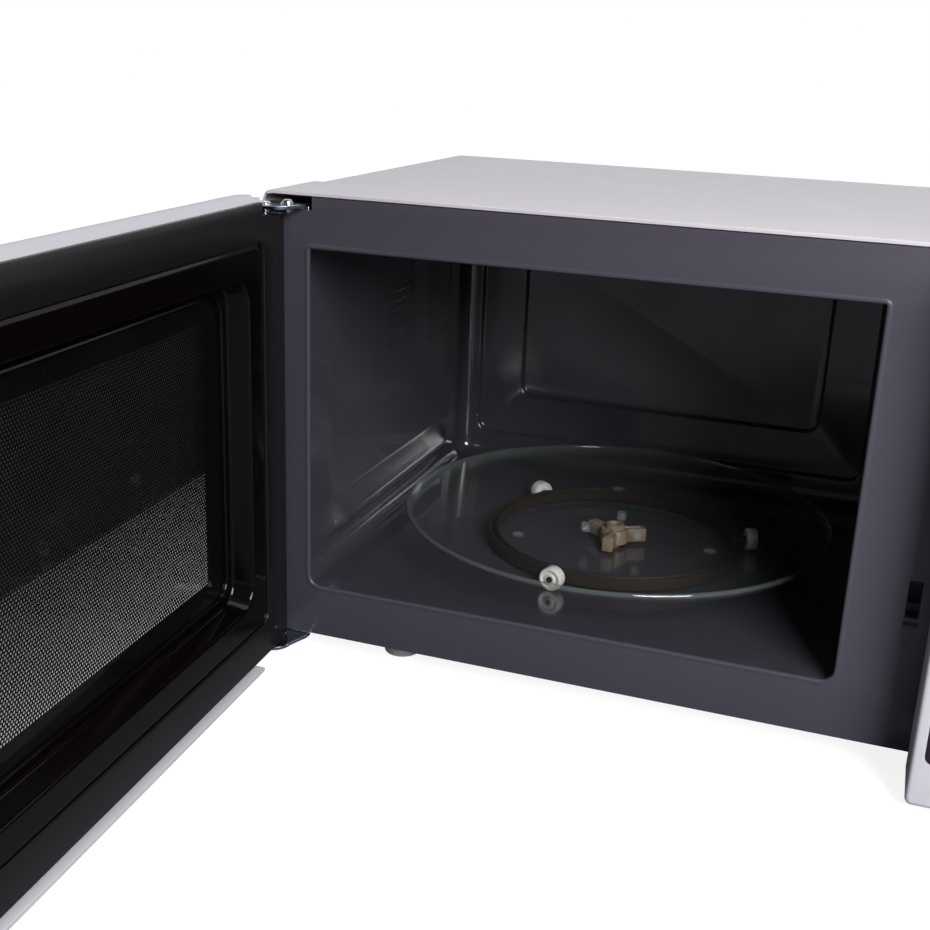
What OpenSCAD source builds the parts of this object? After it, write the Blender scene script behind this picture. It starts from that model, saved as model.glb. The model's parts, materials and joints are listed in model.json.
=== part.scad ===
// Countertop microwave oven with its door standing open, modelled as it comes apart on a bench.
// The origin is on the worktop, under the middle of the body: +X is the user's right, +Y is the back.

/* [Body] */
// Width of the body
body_w = 452; // [448:1:470]
// Depth of the body without the door
body_d = 296; // [294:1:310]
// Height from the worktop to the top of the cover
body_h = 270.8; // [270:0.2:276]
// Height of a foot
foot_h = 15; // [12:1:16]
// Thickness of the sheet metal
sheet = 0.8; // [0.7:0.1:1]
// Drop of the cover behind its front band
cover_step = 1.4; // [1:0.2:2]
// Depth of the raised front band of the cover
cover_band = 55; // [40:1:70]

/* [Cavity] */
// Width of the door opening in the front plate
opening_w = 295; // [285:1:297]
// Height of the door opening
opening_h = 195; // [188:1:196]
// Plate beside the opening on the hinge side
border_left = 28; // [26:1:30]
// Plate below the opening
border_bottom = 31; // [30:1:33]
// Inside width of the cavity
cavity_w = 314; // [312:1:316]
// Inside height of the cavity
cavity_h = 199.5; // [198:0.5:200.5]
// Inside depth of the cavity
cavity_d = 286; // [282:1:286]
// Corner radius of the cavity
cavity_r = 9; // [6:1:12]

/* [Turntable] */
// Diameter of the glass plate
plate_dia = 270; // [255:1:270]
// Height of the glass rim over the cavity floor
plate_rim_h = 25; // [23:1:28]
// Radius of the roller track
track_r = 88; // [86:1:92]
// Radius of a roller
wheel_r = 7; // [6.5:0.5:7.5]

/* [Door] */
// Opening angle of the door at rest
door_open = 87.3; // [0:0.1:98]
// Thickness of the door
door_t = 32; // [30:1:34]
// Gap between the closed door and the front plate
door_gap = 1.5; // [1.2:0.1:2]
// Width of the flat sealing border of the choke cover
seal_border = 20.5; // [18:0.5:24]
// Distance from the edge of the choke cover to its window
window_border = 45; // [42:1:48]
// Depth of the recessed window film
window_depth = 14; // [12:0.5:15]

/* [Control panel] */
// Width of the control panel
panel_w = 88; // [86:1:90]
// Radius of the knob
knob_r = 21; // [18:1:24]
// Travel of a push button
button_travel = 1.5; // [1:0.1:2]
// Travel of the door button
open_travel = 6; // [4:0.5:7]

/* [Hidden] */
$fn = 48;
eps = 0.01;

// Body planes
left_x = -body_w / 2;
right_x = body_w / 2;
front_y = -body_d / 2;
rear_y = body_d / 2;
plate_top = body_h - 2.3;
plate_side = right_x - 1.1;
rear_top = body_h - cover_step;

// Opening and cavity planes
open_x0 = left_x + border_left;
open_x1 = open_x0 + opening_w;
open_z0 = foot_h + border_bottom;
open_z1 = open_z0 + opening_h;
open_cx = (open_x0 + open_x1) / 2;
cav_x0 = open_cx - cavity_w / 2;
cav_x1 = open_cx + cavity_w / 2;
cav_z0 = open_z0 - 1.5;
cav_z1 = cav_z0 + cavity_h;
cav_y0 = front_y + sheet;
cav_y1 = front_y + cavity_d;
emboss = 3;
screw_xs = [left_x + 10, -60, 60, right_x - 10];
screw_z = rear_top - 9;
vent_r = 1.5;
vent_pitch = 5;

// Turntable
tt_x = open_cx;
tt_y = front_y + 142;
tt_floor = cav_z0;
wheel_gap = 0.3;
wheel_z = tt_floor + wheel_gap + wheel_r;
glass_z = wheel_z + wheel_r + wheel_gap;
glass_t = 4;
shaft_r = 3;
ring_r = track_r - 13;
axle_r = 1.8;
function wheel_angle(k) = 258.7 + 120 * k;
coupler_z0 = tt_floor + 2;
coupler_top = glass_z - 0.3;

// Door, closed, with its hinge axis
hinge_x = left_x + 7.75;
hinge_y = front_y - 11;
pin_r = 2.5;
bush_clear = 0.05;
door_x0 = left_x;
door_x1 = right_x - panel_w - 1.4;
door_z0 = 5;
door_z1 = body_h - 2.8;
door_in = front_y - door_gap;
door_out = door_in - door_t;
frame_t = 2.5;
seal_x0 = left_x + 9.1;
seal_x1 = door_x1 - 3;
seal_z0 = foot_h;
seal_z1 = door_z1;
film_y = door_in - window_depth;
mesh_y = film_y - 1.6;
win_x0 = seal_x0 + window_border;
win_x1 = seal_x1 - window_border;
win_z0 = seal_z0 + window_border;
win_z1 = seal_z1 - window_border;
tongue_top_z = plate_top - 6;
tongue_t = 2;
tongue_w = 25;
notch_w = 12;
notch_d = 21.5;
stud_reach = 16;
stud_z = tongue_top_z - 2.8;
bush_h = 11.8;

// Latch
slot_x = open_x1 + 32.2;
slot_w = 7.2;
slot_h = 20;
slot_zs = [open_z0 + 52, open_z0 + 143];
hook_t = 4;
hook_x = slot_x - hook_t / 2 - 0.8;
hook_len = 23;
rib_z = slot_zs[1] + 36.6;

// Control panel
panel_x0 = right_x - panel_w;
panel_x1 = right_x;
panel_y0 = door_out;
panel_y1 = front_y - 1;
fascia_x0 = panel_x0 + 6;
fascia_x1 = panel_x1 - 6;
fascia_z0 = door_z0 + 24;
fascia_z1 = door_z1 - 10;
panel_cx = (fascia_x0 + fascia_x1) / 2;
display_z = fascia_z1 - 28;
button_w = 24;
button_h = 9;
button_xs = [panel_cx - 17, panel_cx + 17];
button_zs = [display_z - 34, display_z - 52, display_z - 70];
knob_z = display_z - 113;
open_w = 60;
open_h = 30;
open_z = fascia_z0 + 31;
lever_y = front_y + 5.6;
lever_z = slot_zs[0] - 12;
lever_x0 = slot_x + 13.8;
lever_x1 = panel_cx - 12;
stem_z = lever_z - 15;

// Component bay
bay_x = (cav_x1 + right_x) / 2;
mag_x = cav_x1 + 58;
mag_y = front_y + 150;
mag_z = 192;
fan_x = bay_x + 4;
fan_z = 205;
fan_r = 42;
fan_y = rear_y - 28;
trafo_y = 62;

// ---- helpers ----

// Rounded rectangle from one corner to the other, with true arcs
module rounded(x0, y0, x1, y1, r) {
    translate([x0 + r, y0]) square([x1 - x0 - 2 * r, y1 - y0]);
    translate([x0, y0 + r]) square([x1 - x0, y1 - y0 - 2 * r]);
    for (x = [x0 + r, x1 - r], y = [y0 + r, y1 - r]) translate([x, y]) circle(r);
}

// A flat outline in X and Z, as thick as t from y towards the back
module upright(y, t) {
    translate([0, y + t, 0]) rotate([90, 0, 0]) linear_extrude(t) children();
}

// A flat outline in Y and Z, as thick as t from x towards the right
module sideways(x, t) {
    translate([x, 0, 0]) rotate([90, 0, 90]) linear_extrude(t) children();
}

// A cylinder along Y, as long as l from y towards the back
module rod_y(x, y, z, r, l) {
    translate([x, y + l, z]) rotate([90, 0, 0]) cylinder(r = r, h = l);
}

// A cylinder along X, as long as l from x towards the right
module rod_x(x, y, z, r, l) {
    translate([x, y, z]) rotate([0, 90, 0]) cylinder(r = r, h = l);
}

// A box from one corner to the other
module block(a, b) {
    translate(a) cube(b - a);
}

// The door's parts are drawn closed and swung open about the hinge axis
module swing() {
    translate([hinge_x, hinge_y, 0]) rotate([0, 0, -door_open]) translate([-hinge_x, -hinge_y, 0])
        children();
}

// ---- body ----

module base_plate() {
    color("lightgray") difference() {
        union() {
            block([left_x + 2, front_y + 2, foot_h], [right_x - 2, rear_y - 2, foot_h + 1]);
            for (x = [left_x + 2, right_x - 3])
                block([x, front_y + 4, foot_h], [x + 1, rear_y - 2, foot_h + 12]);
            block([left_x + 2, rear_y - 3, foot_h], [right_x - 2, rear_y - 2, foot_h + 12]);
        }
        for (i = [0:9]) translate([cav_x1 + 20 + i * 9, -70, foot_h - 1]) cube([4, 44, 3]);
        for (x = [-151, 151], y = [-118, 118]) translate([x, y, foot_h - 1]) cylinder(r = 2.2, h = 3);
        translate([tt_x - 32, tt_y - 32, foot_h - 1]) cube([64, 64, 3]);
    }
}

module feet() {
    for (x = [-151, 151], y = [-118, 118]) color("silver") translate([x, y, 0]) {
        cylinder(r1 = 10, r2 = 12, h = foot_h - 3);
        translate([0, 0, foot_h - 3]) cylinder(r = 12, h = 3);
        translate([0, 0, foot_h - eps]) cylinder(r = 2, h = 4);
    }
}

// The opening has square upper corners and rounded lower ones
module opening_outline() {
    rounded(open_x0, open_z0, open_x1, open_z1, 7);
    translate([open_x0, open_z0 + 20]) square([opening_w, opening_h - 20]);
}

module front_plate() {
    color("dimgray") {
        upright(front_y, sheet) difference() {
            rounded(-plate_side, foot_h + 0.2, plate_side, plate_top, 6);
            opening_outline();
            translate([-plate_side - 1, tongue_top_z - 1]) square([tongue_w + 3.5, 20]);
            for (z = slot_zs) {
                translate([slot_x - slot_w / 2, z - slot_h / 2]) square([slot_w, slot_h]);
                translate([slot_x - slot_w / 2, z - slot_h / 2 - 5.3]) square([slot_w, 3.6]);
            }
            // windows behind the panel for the button's stem and for the wires
            translate([lever_x1 - 12, stem_z - 7]) square([14, 14]);
            rounded(panel_cx - 16, 130, panel_cx + 24, 190, 4);
        }
        block([-plate_side + tongue_w + 4, front_y + sheet - eps, plate_top - sheet],
            [plate_side - 7, front_y + 12, plate_top]);
    }
}

module cavity_outline(grow) {
    rounded(cav_x0 - grow, cav_z0 - grow, cav_x1 + grow, cav_z1 + grow, cavity_r + grow);
}

module emboss_outline(step, grow) {
    margin = 14 + 33 * step;
    rounded(cav_x0 + margin - grow, cav_z0 + 19 + 31 * step - grow,
        cav_x1 - margin + grow, cav_z1 - 19 - 8 * step + grow, 8 + grow);
}

// One stamped step of the back wall, deeper than the one before
module back_step(step) {
    y = cav_y1 + emboss * step;
    upright(y, sheet) difference() {
        if (step == 0) cavity_outline(sheet);
        else emboss_outline(step - 1, sheet);
        emboss_outline(step, 0);
    }
    upright(y, emboss) difference() {
        emboss_outline(step, sheet);
        emboss_outline(step, 0);
    }
}

// Ledge pressed into the lower edge of a side wall
module side_ledge(x, dir) {
    translate([0, front_y + 228, 0]) rotate([90, 0, 0]) linear_extrude(178)
        polygon([[x - dir * 0.4, cav_z0 + 39], [x + dir * 9, cav_z0 + 26],
            [x + dir * 9, cav_z0 + 22], [x - dir * 0.4, cav_z0 + 12]]);
}

module vent_patch(x, y, z, columns, rows) {
    for (i = [0:columns - 1], j = [0:rows - 1])
        rod_x(x - 3, y + i * vent_pitch + (j % 2) * vent_pitch / 2, z + j * vent_pitch * 0.87, vent_r, 6);
}

module cavity() {
    color([0.28, 0.27, 0.32]) difference() {
        union() {
            upright(cav_y0, cav_y1 - cav_y0) difference() {
                cavity_outline(sheet);
                cavity_outline(0);
            }
            upright(cav_y0, sheet) difference() {
                cavity_outline(8);
                cavity_outline(0);
            }
            back_step(0);
            back_step(1);
            upright(cav_y1 + 2 * emboss, sheet) emboss_outline(1, sheet);
            side_ledge(cav_x0, 1);
            side_ledge(cav_x1, -1);
        }
        vent_patch(cav_x0, front_y + 133, open_z0 + 110, 9, 10);
        vent_patch(cav_x0, front_y + 205, open_z0 + 106, 8, 13);
        vent_patch(cav_x1, front_y + 68, open_z0 + 110, 6, 10);
        vent_patch(cav_x1, front_y + 44, open_z0 + 138, 3, 6);
        block([cav_x1 - 2, mag_y - 40, open_z0 + 105], [cav_x1 + 2, mag_y + 40, open_z0 + 165]);
        translate([tt_x, tt_y, tt_floor - 2]) cylinder(r = 8, h = 4);
    }
}

// Outline of the wrap-around cover at one height of its top
module cover_outline(top, t) {
    difference() {
        union() {
            rounded(left_x, top - 30, right_x, top, 7);
            translate([left_x, foot_h + 2]) square([body_w, top - foot_h - 12]);
        }
        rounded(left_x + sheet, top - 30, right_x - sheet, top - t, 6.2);
        translate([left_x + sheet, foot_h + 1]) square([body_w - 2 * sheet, top - foot_h - 11]);
    }
}

module cover_louvres(x, y, z, columns) {
    for (i = [0:columns - 1], j = [0:1])
        block([x - 3, y + i * 8, z + j * 30], [x + 3, y + i * 8 + 3.5, z + j * 30 + 22]);
}

module outer_cover() {
    color("whitesmoke") difference() {
        union() {
            upright(front_y - 1, 1.6) cover_outline(body_h, 2);
            upright(front_y - 1, cover_band + 1) cover_outline(body_h, sheet);
            upright(front_y + cover_band - sheet, sheet) cover_outline(body_h, sheet + cover_step);
            upright(front_y + cover_band - sheet, rear_y - front_y - cover_band + sheet)
                cover_outline(rear_top, sheet);
        }
        cover_louvres(left_x, 40, 170, 9);
        cover_louvres(right_x, -60, 130, 14);
        block([left_x - 1, front_y - 2, tongue_top_z - 1.5],
            [left_x + 5, front_y + sheet, plate_top + 0.1]);
    }
}

module rear_panel() {
    color("silver") difference() {
        union() {
            upright(rear_y - 1.8, sheet)
                rounded(left_x + 1.2, foot_h + 1.2, right_x - 1.2, rear_top - 1.6, 6);
            upright(rear_y - 1 - eps, 7) rounded(-150, 70, 60, 210, 12);
        }
        upright(rear_y - 3, 8.2) rounded(-149, 71, 59, 209, 11);
        for (i = [0:6], j = [0:6])
            if (norm([i - 3, j - 3]) < 3.4)
                rod_y(fan_x + (i - 3) * 12, rear_y - 4, fan_z + (j - 3) * 12, 4.2, 5);
        for (i = [0:7]) block([-200 + i * 5.5, rear_y - 4, 90], [-197 + i * 5.5, rear_y + 1, 190]);
        rod_y(bay_x, rear_y - 4, 60, 6.5, 5);
        for (x = screw_xs) rod_y(x, rear_y - 4, screw_z, 1.85, 6);
    }
}

module motor_access_plate() {
    color("lightgray") {
        translate([tt_x - 36, tt_y - 36, foot_h - 0.9]) cube([72, 72, 0.8]);
        translate([tt_x - 30, tt_y - 30, foot_h - 0.2]) cube([60, 60, 1.2]);
    }
}

module cross_screw(r, h) {
    difference() {
        union() {
            cylinder(r = 1.8, h = h);
            translate([0, 0, h - eps]) cylinder(r1 = r, r2 = r * 0.7, h = 2);
        }
        for (a = [0, 90]) rotate([0, 0, a]) translate([-r * 0.6, -0.5, h + 1]) cube([r * 1.2, 1, 3]);
    }
}

module body_screws() {
    color("silver") for (x = screw_xs)
        translate([x, rear_y - 1, screw_z]) rotate([-90, 0, 0]) translate([0, 0, -3.5])
            cross_screw(4, 3.6);
}

// ---- hinges ----

module tongue_outline() {
    translate([hinge_x, hinge_y]) circle(9);
    translate([hinge_x, hinge_y - 9]) square([8, 9 + 10]);
    translate([hinge_x + 8, hinge_y - 1]) circle(8);
    translate([hinge_x - 5.5, hinge_y]) square([tongue_w, 11 + sheet + 1.2]);
    translate([hinge_x, hinge_y - 1]) square([tongue_w - 5.5, 10]);
}

module top_hinge_bracket() {
    z = tongue_top_z + 0.2;
    color("silver") difference() {
        union() {
            translate([0, 0, z]) linear_extrude(tongue_t) tongue_outline();
            block([hinge_x - 5.5, front_y + sheet, z - 10],
                [hinge_x - 5.5 + tongue_w, front_y + 2.4, z + tongue_t]);
        }
        translate([hinge_x, hinge_y, z - 1]) cylinder(r = 1.6, h = tongue_t + 2);
        translate([hinge_x + 11.5, hinge_y + 3.5, z - 1]) cylinder(r = 1.6, h = tongue_t + 2);
        for (dx = [2, 14]) rod_y(hinge_x - 1 + dx, front_y, z - 6, 1.6, 4);
    }
}

module bottom_hinge_bracket() {
    z = foot_h - 0.4 - tongue_t;
    color("silver") difference() {
        union() {
            translate([0, 0, z]) linear_extrude(tongue_t) {
                tongue_outline();
                translate([hinge_x + 4, hinge_y - 4]) circle(11);
            }
            block([hinge_x - 5.5, front_y + sheet, z], [hinge_x - 5.5 + tongue_w, front_y + 1.9, z + 22]);
        }
        translate([hinge_x, hinge_y, z - 1]) cylinder(r = 1.6, h = tongue_t + 2);
        for (dx = [2, 14]) rod_y(hinge_x - 1 + dx, front_y, z + 16, 1.6, 4);
    }
}

// Two shouldered pivot pins and the stop stud beside the upper one
module hinge_pins() {
    top_z = tongue_top_z + 0.2;
    low_z = foot_h - 0.4;
    color("gainsboro") {
        translate([hinge_x, hinge_y, top_z - 12]) cylinder(r = pin_r, h = 12);
        translate([hinge_x, hinge_y, top_z - eps]) cylinder(r = 1.6, h = tongue_t + eps);
        translate([hinge_x, hinge_y, top_z + tongue_t]) cylinder(r1 = 3.6, r2 = 2.6, h = 1.4);
        translate([hinge_x, hinge_y, low_z]) cylinder(r = pin_r, h = 12);
        translate([hinge_x, hinge_y, low_z - tongue_t - eps]) cylinder(r = 1.6, h = tongue_t + 2 * eps);
        translate([hinge_x, hinge_y, low_z - tongue_t - 1.4]) cylinder(r1 = 2.6, r2 = 3.6, h = 1.4);
        translate([hinge_x + 11.5, hinge_y + 3.5, top_z - 2.4]) {
            cylinder(r1 = 2.2, r2 = 3.4, h = 2.4);
            cylinder(r = 1.6, h = 6.5);
            translate([0, 0, 2.4 + tongue_t]) cylinder(r = 3.6, h = 1.2);
            translate([0, 0, 3.6 + tongue_t]) cylinder(r1 = 2.8, r2 = 1.8, h = 1.4);
        }
    }
}

// ---- microwave source ----

module waveguide() {
    color("silver") difference() {
        block([cav_x1 + sheet, mag_y - 44, open_z0 + 100], [mag_x - 26.2, mag_y + 44, open_z0 + 172]);
        block([cav_x1 + sheet - 1, mag_y - 43, open_z0 + 101], [mag_x - 27.2, mag_y + 43, open_z0 + 171]);
        rod_x(mag_x - 30, mag_y, mag_z, 12, 8);
    }
}

module waveguide_cover() {
    color("burlywood") block([cav_x1 - 1.1, mag_y - 50, open_z0 + 98],
        [cav_x1 - 0.3, mag_y + 50, open_z0 + 172]);
    color("white") for (y = [-44, 44]) rod_x(cav_x1 - 2.4, mag_y + y, open_z0 + 135, 3, 2.3);
}

module magnetron_yoke() {
    color("lightgray") difference() {
        block([mag_x - 26, mag_y - 40, mag_z - 46], [mag_x + 22, mag_y + 40, mag_z + 46]);
        block([mag_x - 24, mag_y - 41, mag_z - 44], [mag_x + 20, mag_y + 41, mag_z + 44]);
        rod_x(mag_x - 28, mag_y, mag_z, 17, 60);
    }
}

module magnetron_anode() {
    color("brown") rod_x(mag_x - 13, mag_y, mag_z, 18, 22);
    color("dimgray") {
        rod_x(mag_x - 23.7, mag_y, mag_z, 27, 10.8);
        rod_x(mag_x + 8.9, mag_y, mag_z, 27, 10.8);
    }
    color("silver") {
        rod_x(mag_x - 36, mag_y, mag_z, 8, 12.5);
        rod_x(mag_x - 50, mag_y, mag_z, 7, 14.5);
        rod_x(mag_x + 19.5, mag_y, mag_z, 10, 6.5);
    }
}

module magnetron_fins() {
    color("silver") for (i = [0:3]) difference() {
        block([mag_x - 11 + i * 5.4, mag_y - 38, mag_z - 43.5],
            [mag_x - 10.2 + i * 5.4, mag_y + 38, mag_z + 43.5]);
        rod_x(mag_x - 12 + i * 5.4, mag_y, mag_z, 18.05, 4);
    }
}

module magnetron_filter_box() {
    color("lightgray") difference() {
        block([mag_x + 22.3, mag_y - 28, mag_z - 28], [right_x - 14, mag_y + 28, mag_z + 28]);
        block([mag_x + 21, mag_y - 27, mag_z - 27], [right_x - 15, mag_y + 27, mag_z + 27]);
    }
    color("black") block([mag_x + 25, mag_y - 36, mag_z - 8], [right_x - 18, mag_y - 27.5, mag_z + 8]);
}

module transformer_core() {
    color("dimgray") difference() {
        block([bay_x - 42, trafo_y - 40, foot_h + 3], [bay_x + 42, trafo_y + 40, foot_h + 69]);
        for (x = [-28, 10])
            block([bay_x + x, trafo_y - 41, foot_h + 17], [bay_x + x + 18, trafo_y + 41, foot_h + 55]);
    }
    color("silver") block([bay_x - 48, trafo_y - 30, foot_h + 1.1],
        [bay_x + 48, trafo_y + 30, foot_h + 3]);
}

module transformer_windings() {
    for (i = [0, 1]) color(i == 0 ? "darkred" : "goldenrod") difference() {
        y = trafo_y + (i == 0 ? -56 : 14);
        block([bay_x - 27.5, y, foot_h + 17.5], [bay_x + 27.5, y + 42, foot_h + 54.5]);
        block([bay_x - 10.2, y - 1, foot_h + 16], [bay_x + 10.2, y + 43, foot_h + 56]);
    }
}

module hv_capacitor() {
    x = cav_x1 + 34;
    color("silver") translate([x, -30, foot_h + 10]) {
        for (s = [-1, 1]) translate([0, s * 11, 0]) cylinder(r = 17, h = 80);
        translate([-17, -11, 0]) cube([34, 22, 80]);
    }
    color("white") for (s = [-1, 1]) translate([x, -30 + s * 10, foot_h + 90]) cylinder(r = 4, h = 6);
    color("dimgray") block([x - 20, -36, foot_h + 1.1], [x + 20, -24, foot_h + 10]);
}

module hv_diode() {
    color("black") translate([cav_x1 + 66, -48, foot_h + 22]) cylinder(r = 4, h = 16);
    color("silver") translate([cav_x1 + 66, -48, foot_h + 1.1]) cylinder(r = 0.8, h = 21);
}

// ---- cooling and light ----

module fan_shroud() {
    color("whitesmoke") difference() {
        block([fan_x - 46, fan_y - 26, fan_z - 46], [fan_x + 42, rear_y - 3, fan_z + 46]);
        rod_y(fan_x, fan_y - 27, fan_z, fan_r + 2.5, 80);
    }
    color("whitesmoke") for (a = [45:90:315]) translate([fan_x, fan_y - 24.2, fan_z]) rotate([0, a, 0])
        translate([15.1, -1.8, -2]) cube([fan_r - 12, 3, 4]);
}

module fan_motor() {
    color("dimgray") rod_y(fan_x, fan_y - 26, fan_z, 15, 19);
    color("goldenrod") rod_y(fan_x, fan_y - 32, fan_z, 10, 6.5);
}

// Propeller with five swept blades
module fan_blade() {
    color("gray") difference() {
        union() {
            rod_y(fan_x, fan_y - 4, fan_z, 9, 16);
            for (a = [0:72:288]) translate([fan_x, fan_y + 4, fan_z]) rotate([0, a, 0])
                rotate([28, 0, 0]) translate([7, -0.8, -11]) cube([fan_r - 8, 1.6, 22]);
        }
        rod_y(fan_x, fan_y - 4.5, fan_z, 2.5 + bush_clear, 12);
    }
    color("silver") rod_y(fan_x, fan_y - 5.5, fan_z, 2.5, 12);
}

module air_duct() {
    color("whitesmoke") difference() {
        block([cav_x1 + 1.2, front_y + 62, open_z0 + 96], [cav_x1 + 28, front_y + 105, open_z0 + 165]);
        block([cav_x1, front_y + 64, open_z0 + 98], [cav_x1 + 26, front_y + 103, open_z0 + 163]);
        block([cav_x1 + 14, front_y + 100, open_z0 + 104], [cav_x1 + 24, front_y + 107, open_z0 + 158]);
    }
}

module oven_lamp() {
    x = cav_x1 + 14;
    color("lightyellow") translate([x, front_y + 50, open_z0 + 150]) sphere(8);
    color("silver") translate([x, front_y + 50, open_z0 + 155]) cylinder(r = 6.5, h = 14);
    color("gray") block([cav_x1 + 1, front_y + 42, open_z0 + 168],
        [cav_x1 + 24, front_y + 58, open_z0 + 170]);
}

module thermal_cutout() {
    color("black") translate([open_cx + 60, 20, cav_z1 + sheet + 0.1]) cylinder(r = 8, h = 6);
    color("silver") translate([open_cx + 60 - 12, 17, cav_z1 + sheet + 0.1]) cube([24, 6, 0.8]);
}

module mains_filter_board() {
    x = cav_x1 + 14;
    color("darkgreen") block([x, -100, foot_h + 12], [x + 60, -64, foot_h + 13.6]);
    color("orange") translate([x + 18, -82, foot_h + 13.5]) difference() {
        cylinder(r = 9, h = 12);
        translate([0, 0, -1]) cylinder(r = 4, h = 14);
    }
    color("white") rod_x(x + 34, -76, foot_h + 17, 3, 20);
    color("dimgray") for (dx = [4, 56]) translate([x + dx, -70, foot_h + 1.1]) cylinder(r = 1.8, h = 11);
}

// Flush bush that the mains lead would leave through
module cord_inlet_bush() {
    color("black") difference() {
        union() {
            rod_y(bay_x, rear_y - 6, 60, 6.4, 6);
            rod_y(bay_x, rear_y - 1, 60, 9.5, 3);
        }
        rod_y(bay_x, rear_y - 7, 60, 3.75, 12);
    }
}

// ---- turntable ----

module turntable_motor() {
    color("silver") translate([tt_x, tt_y, foot_h + 2]) cylinder(r = 25, h = 16);
    color("silver") block([tt_x - 33, tt_y - 4, foot_h + 17.5], [tt_x + 33, tt_y + 4, foot_h + 18.3]);
    color("white") translate([tt_x, tt_y, foot_h + 17.9]) difference() {
        cylinder(r = 7, h = 8);
        translate([0, 0, -1]) cylinder(r = shaft_r + bush_clear, h = 12);
    }
}

// Three-lobed driver with its shaft
module turntable_coupler() {
    color("tan") {
        translate([tt_x, tt_y, foot_h + 19]) cylinder(r = shaft_r, h = coupler_z0 - foot_h - 18);
        translate([tt_x, tt_y, coupler_z0]) {
            cylinder(r = 9, h = coupler_top - coupler_z0 - 3);
            cylinder(r = 6, h = coupler_top - coupler_z0);
            for (a = [30:120:270]) rotate([0, 0, a]) {
                translate([0, -3.5, 0]) cube([17, 7, 9]);
                translate([17, 0, 0]) cylinder(r = 3.5, h = 9);
            }
        }
    }
}

module roller_ring() {
    color("peru") translate([tt_x, tt_y, wheel_z]) {
        difference() {
            translate([0, 0, -4.5]) cylinder(r = ring_r + 6, h = 7);
            translate([0, 0, -5.5]) cylinder(r = ring_r, h = 9);
        }
        for (k = [0:2]) rotate([0, 0, wheel_angle(k)]) {
            translate([ring_r + 2, -4, -4]) cube([6.5, 8, 6]);
            rod_x(ring_r + 4, 0, 0, axle_r, track_r + 4.5 - ring_r - 4);
        }
    }
}

module roller_wheel(k) {
    color("ivory") translate([tt_x, tt_y, wheel_z]) rotate([0, 0, wheel_angle(k)]) rotate([0, 90, 0])
        translate([0, 0, track_r - 3.5]) difference() {
            cylinder(r = wheel_r, h = 7);
            translate([0, 0, -1]) cylinder(r = axle_r + bush_clear, h = 9);
        }
}

// Shallow dish of clear glass with a rim, a foot ring and three driving lugs
module glass_turntable() {
    r = plate_dia / 2;
    rim_z = tt_floor + plate_rim_h;
    color([0.8, 0.9, 0.85, 0.4]) translate([tt_x, tt_y, 0]) {
        rotate_extrude($fn = 120) polygon([[0, glass_z], [r - 17, glass_z], [r - 9, glass_z + 1.2],
            [r - 1.2, rim_z - 3.6], [r, rim_z - 2], [r - 0.4, rim_z - 0.4], [r - 1.8, rim_z],
            [r - 3.2, rim_z - 0.8], [r - 11.5, glass_z + glass_t + 1.4], [r - 19, glass_z + glass_t],
            [0, glass_z + glass_t]]);
        for (k = [0:2]) {
            rotate([0, 0, 90 + 120 * k]) translate([19.5, 0, glass_z - 5]) cylinder(r = 3, h = 5 + eps);
            rotate([0, 0, 101.3 + 120 * k]) translate([68, 0, glass_z - 1.6])
                cylinder(r1 = 3, r2 = 4.5, h = 1.6 + eps);
        }
    }
}

// ---- control panel ----

module panel_housing() {
    color("whitesmoke") difference() {
        upright(panel_y0, panel_y1 - panel_y0) rounded(panel_x0, door_z0, panel_x1, door_z1, 3);
        upright(panel_y0 + 3, door_t)
            rounded(panel_x0 + 2.2, door_z0 + 2.2, panel_x1 - 2.2, door_z1 - 2.2, 1.5);
        upright(panel_y0 - 1, 2.6)
            rounded(fascia_x0 - 0.2, fascia_z0 - 0.2, fascia_x1 + 0.2, fascia_z1 + 0.2, 4.2);
        upright(panel_y0 - 1, 6) panel_holes(0.5);
    }
}

// Every hole through the panel's face, with a clearance round each part
module panel_holes(c) {
    for (x = button_xs, z = button_zs)
        rounded(x - button_w / 2 - c, z - button_h / 2 - c,
            x + button_w / 2 + c, z + button_h / 2 + c, 2 + c);
    translate([panel_cx, knob_z]) circle(4 + c);
    rounded(panel_cx - open_w / 2 - c, open_z - open_h / 2 - c,
        panel_cx + open_w / 2 + c, open_z + open_h / 2 + c, 4 + c);
    rounded(panel_cx - 30, display_z - 13, panel_cx + 30, display_z + 13, 2);
}

module panel_fascia() {
    color([0.07, 0.05, 0.1]) upright(panel_y0, 1.5) difference() {
        rounded(fascia_x0, fascia_z0, fascia_x1, fascia_z1, 4);
        panel_holes(0.5);
    }
}

module display_window() {
    color([0.05, 0.1, 0.12]) upright(panel_y0 + 0.3, 2.2)
        rounded(panel_cx - 29.8, display_z - 12.8, panel_cx + 29.8, display_z + 12.8, 1.8);
}

module control_board() {
    y = panel_y0 + 15;
    color("darkgreen") block([panel_x0 + 6, y, knob_z - 34], [panel_x1 - 6, y + 1.6, display_z + 18]);
    color("black") {
        block([panel_cx - 27, panel_y0 + 4, display_z - 11], [panel_cx + 27, y, display_z + 11]);
        rod_y(panel_cx, panel_y0 + 9.5, knob_z, 7.5, 5.6);
        for (x = button_xs, z = button_zs) rod_y(x, y - 2.5, z, 3, 2.6);
        block([panel_cx - 24, y + 1.5, knob_z - 24], [panel_cx + 6, y + 13, knob_z + 4]);
    }
}

// Push button: cap, stem and a flange behind the face
module button(k) {
    x = button_xs[(k - 1) % 2];
    z = button_zs[floor((k - 1) / 2)];
    color("silver") {
        upright(panel_y0 - 1.2, 5)
            rounded(x - button_w / 2, z - button_h / 2, x + button_w / 2, z + button_h / 2, 2);
        upright(panel_y0 + 3.5, 1.2)
            rounded(x - button_w / 2 - 1.2, z - button_h / 2 - 1.2,
                x + button_w / 2 + 1.2, z + button_h / 2 + 1.2, 2);
        rod_y(x, panel_y0 + 4, z, 2, 6.5);
    }
}

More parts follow.
